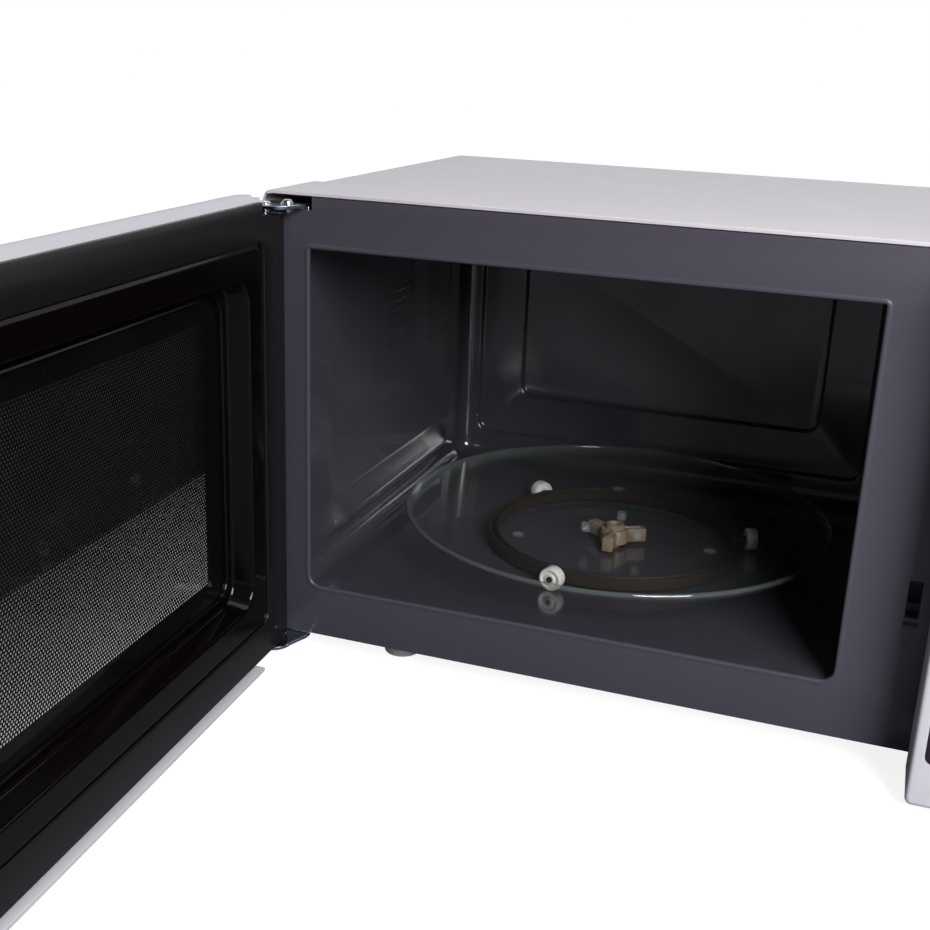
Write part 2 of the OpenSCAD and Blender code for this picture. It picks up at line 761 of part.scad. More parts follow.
module control_knob() {
    color("silver") difference() {
        union() {
            rod_y(panel_cx, panel_y0 - 15, knob_z, knob_r - 1.5, 12);
            rod_y(panel_cx, panel_y0 - 6, knob_z, knob_r, 5);
            rod_y(panel_cx, panel_y0 - 2, knob_z, 4, 6);
            rod_y(panel_cx, panel_y0 + 3, knob_z, 3, 6.2);
        }
        for (a = [0:15:345]) translate([panel_cx, 0, knob_z]) rotate([0, a, 0])
            rod_y(knob_r - 1, panel_y0 - 16, 0, 0.8, 8);
        block([panel_cx - 0.8, panel_y0 - 16, knob_z + 8],
            [panel_cx + 0.8, panel_y0 - 14.2, knob_z + knob_r - 3]);
    }
}

module open_button() {
    color("whitesmoke") difference() {
        union() {
            upright(panel_y0 - 2, 10)
                rounded(panel_cx - open_w / 2, open_z - open_h / 2,
                    panel_cx + open_w / 2, open_z + open_h / 2, 4);
            block([lever_x1 - 8, panel_y0, stem_z - 2.5], [lever_x1 - 2, front_y + 2, stem_z + 2.5]);
        }
        upright(panel_y0 + 1, 8)
            rounded(panel_cx - open_w / 2 + 2, open_z - open_h / 2 + 2,
                panel_cx + open_w / 2 - 2, open_z + 4, 2);
    }
}

// Bell crank behind the front plate: the door button's stem pushes its lower arm back, and its
// finger lifts the lower hook of the closed door
module release_lever() {
    color("gray") difference() {
        union() {
            rod_x(lever_x0, lever_y, lever_z, 4, lever_x1 - lever_x0);
            block([lever_x1 - 10, lever_y - 2, stem_z - 5], [lever_x1, lever_y + 1, lever_z]);
            block([lever_x0, lever_y, lever_z - 1.5], [lever_x0 + 4, lever_y + 16, lever_z + 3]);
            block([hook_x - 2, lever_y + 12, lever_z - 1.5], [lever_x0 + 4, lever_y + 16, lever_z + 3]);
        }
        rod_x(lever_x0 - 1, lever_y, lever_z, 2 + bush_clear, lever_x1 - lever_x0 + 2);
    }
}

module interlock_housing() {
    color("whitesmoke") {
        difference() {
            block([slot_x - 9, front_y + sheet + 0.1, slot_zs[0] - 30],
                [slot_x + 13, front_y + 38, slot_zs[1] + 26]);
            for (z = slot_zs)
                block([slot_x - 5.4, front_y - 1, z - 15], [slot_x + 5.4, front_y + 33, z + 16]);
            block([slot_x - 7, front_y + 3, slot_zs[0] + 22],
                [slot_x + 14, front_y + 39, slot_zs[1] - 22]);
            block([slot_x, lever_y + 8, lever_z - 4], [slot_x + 14, lever_y + 19, lever_z + 13]);
        }
        // pin that carries the release lever
        rod_x(slot_x + 13 - eps, lever_y, lever_z, 2, lever_x1 - slot_x - 10);
        rod_x(lever_x1 + 0.3, lever_y, lever_z, 3, 1.5);
    }
}

module door_switches() {
    color("black") for (z = [slot_zs[0] + 2, slot_zs[1] + 2, slot_zs[1] - 14])
        block([slot_x + 13.1, front_y + 14, z], [slot_x + 23, front_y + 34, z + 11]);
}

// ---- door ----

module door_frame() {
    glass_x0 = door_x0 + 40;
    glass_x1 = door_x1 - 40;
    swing() color("whitesmoke") difference() {
        upright(door_out, door_t - 1) rounded(door_x0, door_z0, door_x1, door_z1, 4);
        upright(door_out + frame_t, door_t) rounded(door_x0 + frame_t, door_z0 + frame_t,
            door_x1 - frame_t, door_z1 - frame_t, 2);
        upright(door_out - 1, 6) rounded(glass_x0, door_z0 + 42, glass_x1, door_z1 - 38, 8);
        upright(door_out + 1.2, 6) rounded(glass_x0 - 6, door_z0 + 36, glass_x1 + 6, door_z1 - 32, 10);
        block([door_x0 - 1, hinge_y + 7, 0], [door_x0 + 8, door_in + 1, 300]);
        block([door_x0 - 1, hinge_y - notch_d / 2, tongue_top_z - 1.2],
            [door_x0 + notch_w, door_in + 1, door_z1 + 1]);
        stud_room();
        block([door_x0 - 1, door_in - 26, door_z0 - 1], [seal_x0 + 24, door_in + 1, foot_h]);
        block([seal_x0 - 0.2, door_in - 2.7, seal_z0 - 0.2], [seal_x1 + 0.2, door_in + 1, seal_z1 + 1]);
        block([seal_x0 + 15, door_in - 3.6, door_z1 - frame_t - 1],
            [seal_x1 - 15, door_in + 1, seal_z1 + 1]);
    }
    swing() color("whitesmoke")
        block([hook_x - 4, mesh_y - 5.4, rib_z], [door_x1 - frame_t + eps, door_in - 3.6, rib_z + 2]);
}

module door_glass() {
    swing() color([0.1, 0.1, 0.12, 0.5]) upright(door_out + 1.2, 3)
        rounded(door_x0 + 34.2, door_z0 + 36.2, door_x1 - 34.2, door_z1 - 32.2, 9.8);
}

// Steel inner door: perforated sheet and the walls of the choke
module door_mesh_panel() {
    swing() color("dimgray") {
        block([win_x0 - 2, mesh_y - sheet, win_z0 - 2], [win_x1 + 2, mesh_y, win_z1 + 2]);
        upright(mesh_y - 6, 6.2) difference() {
            rounded(win_x0 - 6, win_z0 - 6, win_x1 + 6, win_z1 + 6, 4);
            rounded(win_x0 - 2, win_z0 - 2, win_x1 + 2, win_z1 + 2, 2);
        }
        upright(mesh_y - 6.8, 0.9) difference() {
            rounded(seal_x0 + 9, foot_h + 3, seal_x1 - 1, door_z1 - 8, 3);
            rounded(win_x0 - 3, win_z0 - 3, win_x1 + 3, win_z1 + 3, 3);
        }
    }
}

// Room in the door's inner top corner for the stop stud, which passes through it as the door swings
module stud_room() {
    block([door_x0 - 1, hinge_y - 0.8, stud_z], [hinge_x + stud_reach, door_in + 1, door_z1 + 1]);
}

module choke_ring(edge_in, edge_out, r_in, r_out) {
    difference() {
        rounded(seal_x0 + edge_out, seal_z0 + edge_out, seal_x1 - edge_out, seal_z1 - edge_out, r_out);
        rounded(seal_x0 + edge_in, seal_z0 + edge_in, seal_x1 - edge_in, seal_z1 - edge_in, r_in);
    }
}

module door_choke_cover() {
    swing() color([0.06, 0.055, 0.05]) difference() {
        union() {
            upright(door_in - 2.5, 2.5) choke_ring(seal_border, 0, 4, 2);
            upright(door_in - 3.4, 2.4) choke_ring(36, seal_border - 0.8, 12, 4);
            upright(door_in - window_depth + 1, window_depth - 3) choke_ring(38.5, 35, 12, 13);
            upright(film_y, 1.6) choke_ring(window_border, 37, 10, 13);
        }
        block([seal_x0 - 1, door_in - 9, tongue_top_z - 1.4], [hinge_x + 22.5, door_in + 1, seal_z1 + 1]);
        stud_room();
        for (z = slot_zs) block([slot_x - 4.2, door_in - 4, z - 8], [slot_x + 2.6, door_in + 1, z + 13]);
    }
}

module door_film() {
    swing() color([0.1, 0.1, 0.1, 0.4]) block([win_x0 - 5, film_y - 0.6, win_z0 - 5],
        [win_x1 + 5, film_y - 0.1, win_z1 + 5]);
}

// Plastic bushes that turn on the hinge pins, held in the corners of the door
module door_hinge_bushes() {
    swing() color("dimgray") for (z = [foot_h + 0.5, stud_z - 0.4 - bush_h]) difference() {
        block([hinge_x - 4.8, hinge_y - 6, z], [hinge_x + 12, hinge_y + 6.2, z + bush_h]);
        translate([hinge_x, hinge_y, z - 1]) cylinder(r = pin_r + bush_clear, h = 14);
    }
}

// Two hooks on one sliding bar inside the door
module latch_hooks() {
    z0 = slot_zs[0] - 16;
    z1 = slot_zs[1] + 12;
    swing() color("whitesmoke") {
        block([hook_x - 1, door_in - 12, z0], [hook_x + hook_t, door_in - 4.5, z1]);
        for (z = slot_zs) sideways(hook_x, hook_t) polygon([[door_in - 6, z - 5], [door_in - 6, z + 5],
            [door_in + hook_len - 4, z + 5], [door_in + hook_len, z + 1.5], [door_in + hook_len, z - 3],
            [door_in + hook_len - 4, z - 7],
            [door_in + hook_len - 6, z - 7], [door_in + hook_len - 6, z - 1],
            [door_in + 2, z - 1], [door_in - 2, z - 5]]);
    }
}

// Coil between the sliding bar and a rib of the door frame, which pushes the hooks down
module latch_spring() {
    coil_h = 24;
    turns = 9;
    swing() color("silver") translate([hook_x + 1.2, door_in - 8.2, slot_zs[1] + 12.3]) {
        for (i = [0:turns - 1]) translate([0, 0, 0.5 + i * (coil_h - 1) / (turns - 1)])
            rotate_extrude() translate([2.6, 0]) circle(0.45);
        difference() {
            cylinder(r = 2.9, h = coil_h);
            translate([0, 0, -1]) cylinder(r = 2.4, h = coil_h + 2);
        }
    }
}

base_plate();
feet();
front_plate();
cavity();
outer_cover();
rear_panel();
motor_access_plate();
body_screws();
top_hinge_bracket();
bottom_hinge_bracket();
hinge_pins();
waveguide();
waveguide_cover();
magnetron_yoke();
magnetron_anode();
magnetron_fins();
magnetron_filter_box();
transformer_core();
transformer_windings();
hv_capacitor();
hv_diode();
fan_shroud();
fan_motor();
fan_blade();
air_duct();
oven_lamp();
thermal_cutout();
mains_filter_board();
cord_inlet_bush();
turntable_motor();
turntable_coupler();
roller_ring();
roller_wheel(0);  // roller_wheel_1
roller_wheel(1);  // roller_wheel_2
roller_wheel(2);  // roller_wheel_3
glass_turntable();
panel_housing();
panel_fascia();
display_window();
control_board();
button(1);  // button_1
button(2);  // button_2
button(3);  // button_3
button(4);  // button_4
button(5);  // button_5
button(6);  // button_6
control_knob();
open_button();
release_lever();
interlock_housing();
door_switches();
door_frame();
door_glass();
door_mesh_panel();
door_choke_cover();
door_film();
door_hinge_bushes();
latch_hooks();
latch_spring();
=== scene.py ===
"""Looks of the microwave oven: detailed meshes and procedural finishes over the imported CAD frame."""
import json
import math

import bmesh
import bpy
from mathutils import Matrix, Vector


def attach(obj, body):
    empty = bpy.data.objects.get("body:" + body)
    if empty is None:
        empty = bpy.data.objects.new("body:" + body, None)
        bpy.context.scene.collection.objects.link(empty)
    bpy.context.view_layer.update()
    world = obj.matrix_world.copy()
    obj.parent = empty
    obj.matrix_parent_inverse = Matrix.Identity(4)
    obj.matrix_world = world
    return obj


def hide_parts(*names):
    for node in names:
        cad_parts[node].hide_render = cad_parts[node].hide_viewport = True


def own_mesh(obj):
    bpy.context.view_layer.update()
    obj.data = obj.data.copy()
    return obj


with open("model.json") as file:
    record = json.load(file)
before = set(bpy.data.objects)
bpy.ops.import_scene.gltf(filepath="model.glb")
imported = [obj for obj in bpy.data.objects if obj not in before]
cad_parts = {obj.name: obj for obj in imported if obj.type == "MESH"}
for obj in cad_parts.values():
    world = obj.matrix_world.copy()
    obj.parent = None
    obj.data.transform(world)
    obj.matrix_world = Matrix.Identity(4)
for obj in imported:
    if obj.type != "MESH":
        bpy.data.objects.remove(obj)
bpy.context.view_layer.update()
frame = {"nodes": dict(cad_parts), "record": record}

NODES = frame["nodes"]
RECORD = frame["record"]
BODY_OF = {n: b for b, names in RECORD["behaviour"]["bodies"].items() for n in names}
SLOT_OF = {s["node"]: s["material_slot"] for s in RECORD["subparts"]}
MM = 0.001

# Planes of the design, in millimetres
LEFT, RIGHT, FRONT = -226.0, 226.0, -148.0
OPEN = (-198.0, 46.0, 97.0, 241.0)
CAV = (-207.5, 44.5, 106.5, 244.0)
SHEET = 0.8
HINGE = (-218.25, -159.0)
DOOR_OPEN = math.radians(87.3)
DOOR = (-226.0, 5.0, 136.6, 268.0)
SEAL = (-216.9, 15.0, 133.6, 268.0)
DOOR_IN, DOOR_OUT = -149.5, -181.5
FILM_Y, MESH_Y = -163.5, -165.1
TONGUE_TOP = 262.5
SLOT_X, SLOT_ZS = 129.2, (98.0, 189.0)
PANEL = (138.0, 5.0, 226.0, 268.0)
FASCIA = (144.0, 29.0, 220.0, 258.0)
PANEL_CX, DISPLAY_Z, KNOB_Z = 182.0, 230.0, 117.0
BUTTON_XS, BUTTON_ZS = (165.0, 199.0), (196.0, 178.0, 160.0)
OPEN_BUTTON = (152.0, 45.0, 212.0, 75.0)
TT = (-50.5, -6.0)
TT_FLOOR, WHEEL_Z, GLASS_Z = 44.5, 51.8, 59.1
# Direction of the first roller, in degrees
ROLLER_ANGLE = 258.7
STUD_ROOM, BUSH_H = 2.8, 11.8
BUSH_ZS = (15.5, TONGUE_TOP - STUD_ROOM - 0.4 - BUSH_H)
# Height above which the outer door glass is painted dark, in metres, and its opacity there: painted shade
# for the dark studio seen through the window
PAINTED_SHADE_Z, PAINTED_SHADE_ALPHA = 0.125, 0.90
SWING = (Matrix.Translation((HINGE[0], HINGE[1], 0)) @ Matrix.Rotation(-DOOR_OPEN, 4, "Z")
         @ Matrix.Translation((-HINGE[0], -HINGE[1], 0)))


# ---------------------------------------------------------------- materials

LOOKS = {}


def make(tree, kind, sockets=None, **settings):
    """A shader node with its settings and the values of its sockets."""
    node = tree.nodes.new(kind)
    for key, value in settings.items():
        setattr(node, key, value)
    for key, value in (sockets or {}).items():
        node.inputs[key].default_value = value
    return node


def look(name, color, rough, metal=0.0, pattern="mottle", scale=22.0, stretch=(1, 1, 1), spread=0.05,
         swing=0.06, grain=900.0, bump=0.06, depth=0.0001, coat=0.0, ior=1.5, alpha=1.0, transmission=0.0,
         specular=0.5):
    """A procedural finish: a colour pattern, a drift in roughness and a fine relief."""
    mat = bpy.data.materials.new(name)
    mat.use_nodes = True
    tree = mat.node_tree
    link = tree.links.new
    bsdf = tree.nodes["Principled BSDF"]
    coord = make(tree, "ShaderNodeTexCoord")
    mapping = make(tree, "ShaderNodeMapping", {"Scale": stretch})
    link(coord.outputs["Object"], mapping.inputs["Vector"])
    drift = make(tree, "ShaderNodeTexNoise", {"Scale": scale, "Detail": 4.0})
    link(mapping.outputs["Vector"], drift.inputs["Vector"])
    factor = drift.outputs["Fac"]
    height = None
    if pattern == "cells":
        cells = make(tree, "ShaderNodeTexVoronoi", {"Scale": scale * 4})
        link(mapping.outputs["Vector"], cells.inputs["Vector"])
        split = make(tree, "ShaderNodeSeparateColor")
        link(cells.outputs["Color"], split.inputs["Color"])
        factor = split.outputs["Red"]
    if pattern == "bands":
        bands = make(tree, "ShaderNodeTexWave", {"Scale": scale * 10, "Distortion": 0.6, "Detail": 2.0})
        link(mapping.outputs["Vector"], bands.inputs["Vector"])
        factor = height = bands.outputs["Fac"]
    dark = [c * (1 - spread) for c in color] + [1]
    light = [min(1, c * (1 + spread)) for c in color] + [1]
    mix = make(tree, "ShaderNodeMix", {"A": dark, "B": light}, data_type="RGBA")
    link(factor, mix.inputs["Factor"])
    link(mix.outputs["Result"], bsdf.inputs["Base Color"])
    wear = make(tree, "ShaderNodeMapRange", {
        "From Min": 0.3, "From Max": 0.7, "To Min": max(0.01, rough - swing), "To Max": rough + swing})
    link(drift.outputs["Fac"], wear.inputs["Value"])
    link(wear.outputs["Result"], bsdf.inputs["Roughness"])
    fine = make(tree, "ShaderNodeTexNoise", {"Scale": grain, "Detail": 2.0})
    link(mapping.outputs["Vector"], fine.inputs["Vector"])
    relief = make(tree, "ShaderNodeBump", {"Strength": bump, "Distance": depth})
    link(height or fine.outputs["Fac"], relief.inputs["Height"])
    link(relief.outputs["Normal"], bsdf.inputs["Normal"])
    for socket, value in (("Metallic", metal), ("Coat Weight", coat), ("Coat Roughness", 0.03),
                          ("IOR", ior), ("Specular IOR Level", specular), ("Alpha", alpha),
                          ("Transmission Weight", transmission)):
        bsdf.inputs[socket].default_value = value
    LOOKS[name] = mat
    return mat


look("cover_paint", (0.545, 0.515, 0.55), 0.34, spread=0.03, grain=1300, bump=0.10, coat=0.15)
look("plate_paint", (0.058, 0.053, 0.071), 0.32, spread=0.03, swing=0.012, grain=700, bump=0.05, coat=0.05)
look("cavity_paint", (0.044, 0.042, 0.053), 0.15, grain=600, bump=0.02, specular=0.8, coat=0.2, spread=0.06)
look("galvanised", (0.52, 0.54, 0.56), 0.38, 0.9, "cells", spread=0.16, swing=0.08)
look("zinc_blue", (0.50, 0.56, 0.66), 0.22, 1.0, scale=60, spread=0.15, grain=1500)
look("bright_steel", (0.78, 0.80, 0.84), 0.10, 1.0, scale=80, stretch=(1, 1, 6))
look("white_plastic", (0.57, 0.555, 0.60), 0.33, grain=1500, bump=0.05)
look("foot_plastic", (0.60, 0.60, 0.62), 0.55, grain=1200, bump=0.2)
look("black_gloss", (0.0022, 0.0014, 0.0011), 0.10, swing=0.015, grain=500, bump=0.02, spread=0.2,
     specular=0.28)
look("black_plastic", (0.02, 0.02, 0.022), 0.5, grain=1200, bump=0.2, spread=0.15)
look("grey_plastic", (0.30, 0.30, 0.32), 0.45, grain=1200, bump=0.15)
look("fascia_gloss", (0.012, 0.007, 0.018), 0.08, spread=0.2, coat=0.6)
look("display_dark", (0.008, 0.012, 0.014), 0.05, spread=0.2, coat=0.8)
look("key_silver", (0.52, 0.52, 0.55), 0.28, 0.7, scale=12, stretch=(1, 1, 40), spread=0.1)
look("core_steel", (0.045, 0.045, 0.055), 0.42, 0.3, "bands", scale=16, spread=0.5, bump=0.5, depth=0.0004)
look("copper", (0.36, 0.10, 0.035), 0.30, 0.5, "bands", scale=30, stretch=(0.2, 0.2, 1), spread=0.35,
     bump=0.6, depth=0.0004)
look("board_green", (0.012, 0.11, 0.04), 0.33, scale=120, spread=0.35, grain=500, bump=0.3)
look("aluminium", (0.66, 0.67, 0.69), 0.27, 1.0, scale=30, stretch=(1, 12, 1), spread=0.08)
look("mica", (0.34, 0.27, 0.18), 0.42, scale=70, spread=0.3, grain=500, bump=0.3)
# Where the rim makes this glass opaque, its light grey-green colour is a painted rim highlight
look("clear_glass", (0.105, 0.125, 0.118), 0.05, spread=0.2, swing=0.02, grain=300, bump=0.02, ior=2.1)
# Lighter, more opaque glass for the lugs and bumps under the plate: painted glints
look("lug_painted_glint", (0.34, 0.38, 0.37), 0.06, spread=0.2, swing=0.02, grain=300, bump=0.3, ior=2.1,
     alpha=0.30)
# Light grey inner face of the door glass, seen through the mesh holes: painted light coming through the
# door
look("smoked_glass", (0.300, 0.280, 0.285), 0.04, spread=0.2, swing=0.015, coat=0.4)
look("outer_gloss", (0.006, 0.006, 0.007), 0.04, spread=0.2, swing=0.015, coat=0.4)
look("film", (0.004, 0.004, 0.004), 0.035, spread=0.2, swing=0.015, grain=120, bump=0.02, ior=1.7,
     alpha=0.27)
look("mesh_black", (0.005, 0.0045, 0.0045), 0.40, spread=0.15, grain=900, bump=0.1, specular=0.12)
look("amber", (0.019, 0.012, 0.009), 0.55, specular=0.15, spread=0.15, grain=800, bump=0.1)
look("wheel_white", (0.72, 0.70, 0.66), 0.40, spread=0.06, grain=1200, bump=0.1)
look("coupler_beige", (0.22, 0.165, 0.11), 0.40, spread=0.12, grain=1200, bump=0.1)
look("bush_grey", (0.03, 0.03, 0.033), 0.45, spread=0.12, grain=900, bump=0.1)
look("lamp_glass", (0.95, 0.90, 0.78), 0.06, spread=0.03, transmission=0.85)
look("white_print", (0.62, 0.62, 0.66), 0.5, spread=0.04)
look("seal_black", (0.0075, 0.0065, 0.0066), 0.26, swing=0.012, grain=900, bump=0.05, spread=0.15,
     specular=0.4)


def fade_alpha(mat, centre, scale, start, end, low, high, shade_z=None):
    """Opacity by the distance from a centre along the axes that scale keeps, and a nearly opaque dark glass
    above the given height as painted shade.
    """
    tree = mat.node_tree
    link = tree.links.new
    coord = make(tree, "ShaderNodeTexCoord")
    mapping = make(tree, "ShaderNodeMapping", {"Location": [-c * k for c, k in zip(centre, scale)],
                                               "Scale": scale})
    length = make(tree, "ShaderNodeVectorMath", operation="LENGTH")
    ramp = make(tree, "ShaderNodeMapRange", {"From Min": start, "From Max": end, "To Min": low,
                                             "To Max": high})
    link(coord.outputs["Object"], mapping.inputs["Vector"])
    link(mapping.outputs["Vector"], length.inputs[0])
    link(length.outputs["Value"], ramp.inputs["Value"])
    alpha = ramp.outputs["Result"]
    if shade_z is not None:
        split = make(tree, "ShaderNodeSeparateXYZ")
        above = make(tree, "ShaderNodeMath", {1: shade_z}, operation="GREATER_THAN")
        scaled = make(tree, "ShaderNodeMath", {1: PAINTED_SHADE_ALPHA}, operation="MULTIPLY")
        darker = make(tree, "ShaderNodeMath", operation="MAXIMUM")
        link(coord.outputs["Object"], split.inputs["Vector"])
        link(split.outputs["Z"], above.inputs[0])
        link(above.outputs["Value"], scaled.inputs[0])
        link(scaled.outputs["Value"], darker.inputs[0])
        link(alpha, darker.inputs[1])
        alpha = darker.outputs["Value"]
    link(alpha, tree.nodes["Principled BSDF"].inputs["Alpha"])


# Glass more opaque towards the rim: partly its thicker rim, partly a painted rim highlight that shows the
# glass colour as a bright line
fade_alpha(LOOKS["clear_glass"], (TT[0] * MM, TT[1] * MM, 0), (1, 1, 0), 0.1295, 0.1345, 0.075, 0.62)
# The outer door glass is nearly opaque and dark above its middle and clearer further down: painted shade
# and painted light for the dark studio and white floor seen through the window
for side in ("smoked_glass", "outer_gloss"):
    fade_alpha(LOOKS[side], (0, 0, PAINTED_SHADE_Z), (0, 0, 1), 0.0, 0.075, 0.60, 0.05, PAINTED_SHADE_Z)


# ---------------------------------------------------------------- mesh tools

def linked(name, data):
    """A new object in the scene."""
    obj = bpy.data.objects.new(name, data)
    bpy.context.scene.collection.objects.link(obj)
    return obj


def mesh_object(name, verts, faces, finish, door=False, sharp=32.0):
    """An object from points in millimetres, with outward normals and smooth shading up to an angle."""
    mesh = bpy.data.meshes.new(name)
    mesh.from_pydata([Vector(v) * MM for v in verts], [], faces)
    if door:
        move = SWING.copy()
        move.translation *= MM
        mesh.transform(move)
    mesh.materials.append(LOOKS[finish])
    obj = linked(name, mesh)
    tidy(obj, sharp)
    return obj


def tidy(obj, sharp=32.0):
    mesh = obj.data
    bm = bmesh.new()
    bm.from_mesh(mesh)
    bmesh.ops.remove_doubles(bm, verts=bm.verts, dist=0.000002)
    bmesh.ops.recalc_face_normals(bm, faces=bm.faces)
    bm.to_mesh(mesh)
    bm.free()
    mesh.shade_smooth()
    mesh.set_sharp_from_angle(angle=math.radians(sharp))


def loop(x0, z0, x1, z1, radius, steps=7):
    """A rounded rectangle, anticlockwise from its lower left corner. Radius is one number or four."""
    radii = radius if isinstance(radius, (tuple, list)) else (radius,) * 4
    points = []
    for (cx, sx, cz, sz, start), r in zip(
            ((x0, 1, z0, 1, 180), (x1, -1, z0, 1, 270), (x1, -1, z1, -1, 0), (x0, 1, z1, -1, 90)), radii):
        for k in range(steps + 1):
            a = math.radians(start + 90 * k / steps)
            points.append((cx + sx * r + r * math.cos(a), cz + sz * r + r * math.sin(a)))
    return points


def inset(rect, d):
    return (rect[0] + d, rect[1] + d, rect[2] - d, rect[3] - d)


def around(x, z, w, h):
    """The rectangle that reaches w to either side of a point, and h up and down."""
    return (x - w, z - h, x + w, z + h)


def upright(points, y):
    return [(p[0], y, p[1]) for p in points]


def skin(loops, ring=False, caps=True):
    """Verts and faces through loops of equal length: a closed ring of loops, or a run with capped ends."""
    n = len(loops[0])
    verts = [p for one in loops for p in one]
    faces = []
    rows = len(loops) if ring else len(loops) - 1
    for i in range(rows):
        a, b = i * n, ((i + 1) % len(loops)) * n
        for k in range(n):
            m = (k + 1) % n
            faces.append((a + k, a + m, b + m, b + k))
    if caps and not ring:
        faces.append(tuple(range(n)))
        faces.append(tuple(range(len(verts) - n, len(verts))))
    return verts, faces


def merge(*parts):
    verts, faces = [], []
    for v, f in parts:
        shift = len(verts)
        verts += v
        faces += [tuple(i + shift for i in one) for one in f]
    return verts, faces


def box(a, b):
    x0, y0, z0 = a
    x1, y1, z1 = b
    return skin([[(x0, y0, z), (x1, y0, z), (x1, y1, z), (x0, y1, z)] for z in (z0, z1)])


def rounding(low, high, r):
    """Places from low to high, each with how far an outline draws in there for edges rounded by r."""
    return ((low, r), (low + 0.3 * r, 0.3 * r), (low + r, 0), (high - r, 0), (high - 0.3 * r, 0.3 * r),
            (high, r))


def soft_box(a, b, r):
    """A box whose edges are all rounded by r."""
    flat = (a[0], a[1], b[0], b[1])
    return skin([[(x, y, z) for x, y in loop(*inset(flat, d), max(0.05, r - 0.3 * d), 3)]
                 for z, d in rounding(a[2], b[2], r)])


def soft_plate(rect, y0, y1, radius, r):
    """A plate in X and Z with rounded corners and rounded edges."""
    return skin([upright(loop(*inset(rect, d), max(0.05, radius - d), 5), y)
                 for y, d in rounding(y0, y1, r)])


def lathe(profile, centre, axis="z", segments=48):
    """A profile of (radius, height) turned about an axis; it closes on itself, or on the axis."""
    solid = profile[0][0] < 1e-6 and profile[-1][0] < 1e-6
    verts, faces, rings = [], [], []
    for r, h in profile:
        if r < 1e-6:
            rings.append([len(verts)])
            verts.append((0, 0, h))
        else:
            rings.append(list(range(len(verts), len(verts) + segments)))
            for k in range(segments):
                a = 2 * math.pi * k / segments
                verts.append((r * math.cos(a), r * math.sin(a), h))
    count = len(rings) if not solid else len(rings) - 1
    for i in range(count):
        p, q = rings[i], rings[(i + 1) % len(rings)]
        for k in range(segments):
            m = (k + 1) % segments
            if len(p) == 1 and len(q) == 1:
                continue
            if len(p) == 1:
                faces.append((p[0], q[m], q[k]))
            elif len(q) == 1:
                faces.append((p[k], p[m], q[0]))
            else:
                faces.append((p[k], p[m], q[m], q[k]))
    placed = []
    for x, y, z in verts:
        v = {"z": (x, y, z), "y": (x, z, y), "x": (z, x, y)}[axis]
        placed.append((v[0] + centre[0], v[1] + centre[1], v[2] + centre[2]))
    return placed, faces


def rod(r, low, high, *place, **how):
    """A plain cylinder, as a lathe."""
    return lathe([(0, low), (r, low), (r, high), (0, high)], *place, **how)


def thirds(first):
    """Three even angles in radians, from a first one in degrees."""
    return [math.radians(first + 120 * k) for k in range(3)]


def turned(part, angle, centre):
    """A part turned about a vertical axis."""
    c, s = math.cos(angle), math.sin(angle)
    moved = [(centre[0] + c * (x - centre[0]) - s * (y - centre[1]),
              centre[1] + s * (x - centre[0]) + c * (y - centre[1]), z) for x, y, z in part[0]]
    return moved, part[1]


def tube(points, r, sides=10):
    """A round wire through points, with closed ends."""
    angles = [2 * math.pi * k / sides for k in range(sides)]
    loops = []
    for i, p in enumerate(points):
        a = Vector(points[max(0, i - 1)])
        b = Vector(points[min(len(points) - 1, i + 1)])
        along = (b - a).normalized()
        side = along.cross(Vector((0.3, 0.2, 1)).normalized()).normalized()
        up = along.cross(side)
        loops.append([tuple(Vector(p) + r * (math.cos(t) * side + math.sin(t) * up)) for t in angles])
    return skin(loops)


def perforated(rect, low, high, pitch, hole, place):
    """A closed sheet with staggered round holes. place maps (u, v, depth) to a point."""
    u0, v0, u1, v1 = rect
    rows = max(1, round((v1 - v0) / (pitch * 0.866)))
    dv = (v1 - v0) / rows
    columns = max(1, round((u1 - u0) / pitch))
    du = (u1 - u0) / columns
    verts, faces, known = [], [], {}

    def vert(u, v, d):
        key = (round(u, 4), round(v, 4), d)
        if key not in known:
            known[key] = len(verts)
            verts.append(place(u, v, d))
        return known[key]

    def cell(cu, cv, cut):
        a, b = cu - du / 2, cu + du / 2
        c, d = cv - dv / 2, cv + dv / 2
        edge = [(b, cv), (b, d), (cu, d), (a, d), (a, cv), (a, c), (cu, c), (b, c)]
        if not cut:
            for depth in (low, high):
                faces.append(tuple(vert(u, v, depth) for u, v in edge))
            return
        ring = [(cu + hole * math.cos(math.pi * k / 4), cv + hole * math.sin(math.pi * k / 4))
                for k in range(8)]
        for k in range(8):
            m = (k + 1) % 8
            for depth in (low, high):
                faces.append((vert(*edge[k], depth), vert(*edge[m], depth), vert(*ring[m], depth),
                              vert(*ring[k], depth)))
            faces.append((vert(*ring[k], low), vert(*ring[m], low), vert(*ring[m], high),
                          vert(*ring[k], high)))

    for j in range(rows):
        v = v0 + (j + 0.5) * dv
        shift = 0.5 * (j % 2)
        for i in range(columns):
            u = u0 + (i + 0.5 + shift) * du
            if i == columns - 1 and shift:
                continue
            cell(u, v, True)
        if shift:
            for a, b in ((u0, u0 + du / 2), (u1 - du / 2, u1)):
                c, d = v - dv / 2, v + dv / 2
                outline = [(a, c), (b, c), (b, v), (b, d), (a, d), (a, v)]
                for depth in (low, high):
                    faces.append(tuple(vert(p, q, depth) for p, q in outline))
    rim = []
    for j in range(rows):
        c, v, d = v0 + j * dv, v0 + (j + 0.5) * dv, v0 + (j + 1) * dv
        rim += [((u0, c), (u0, v)), ((u0, v), (u0, d)), ((u1, c), (u1, v)), ((u1, v), (u1, d))]
    for v, shift in ((v0, 0.0), (v1, 0.5 * ((rows - 1) % 2))):
        marks = sorted({round(u0 + k * du / 2, 4) for k in range(2 * columns + 1)})
        rim += [((a, v), (b, v)) for a, b in zip(marks, marks[1:])]
    for p, q in rim:
        faces.append((vert(*p, low), vert(*q, low), vert(*q, high), vert(*p, high)))
    return verts, faces


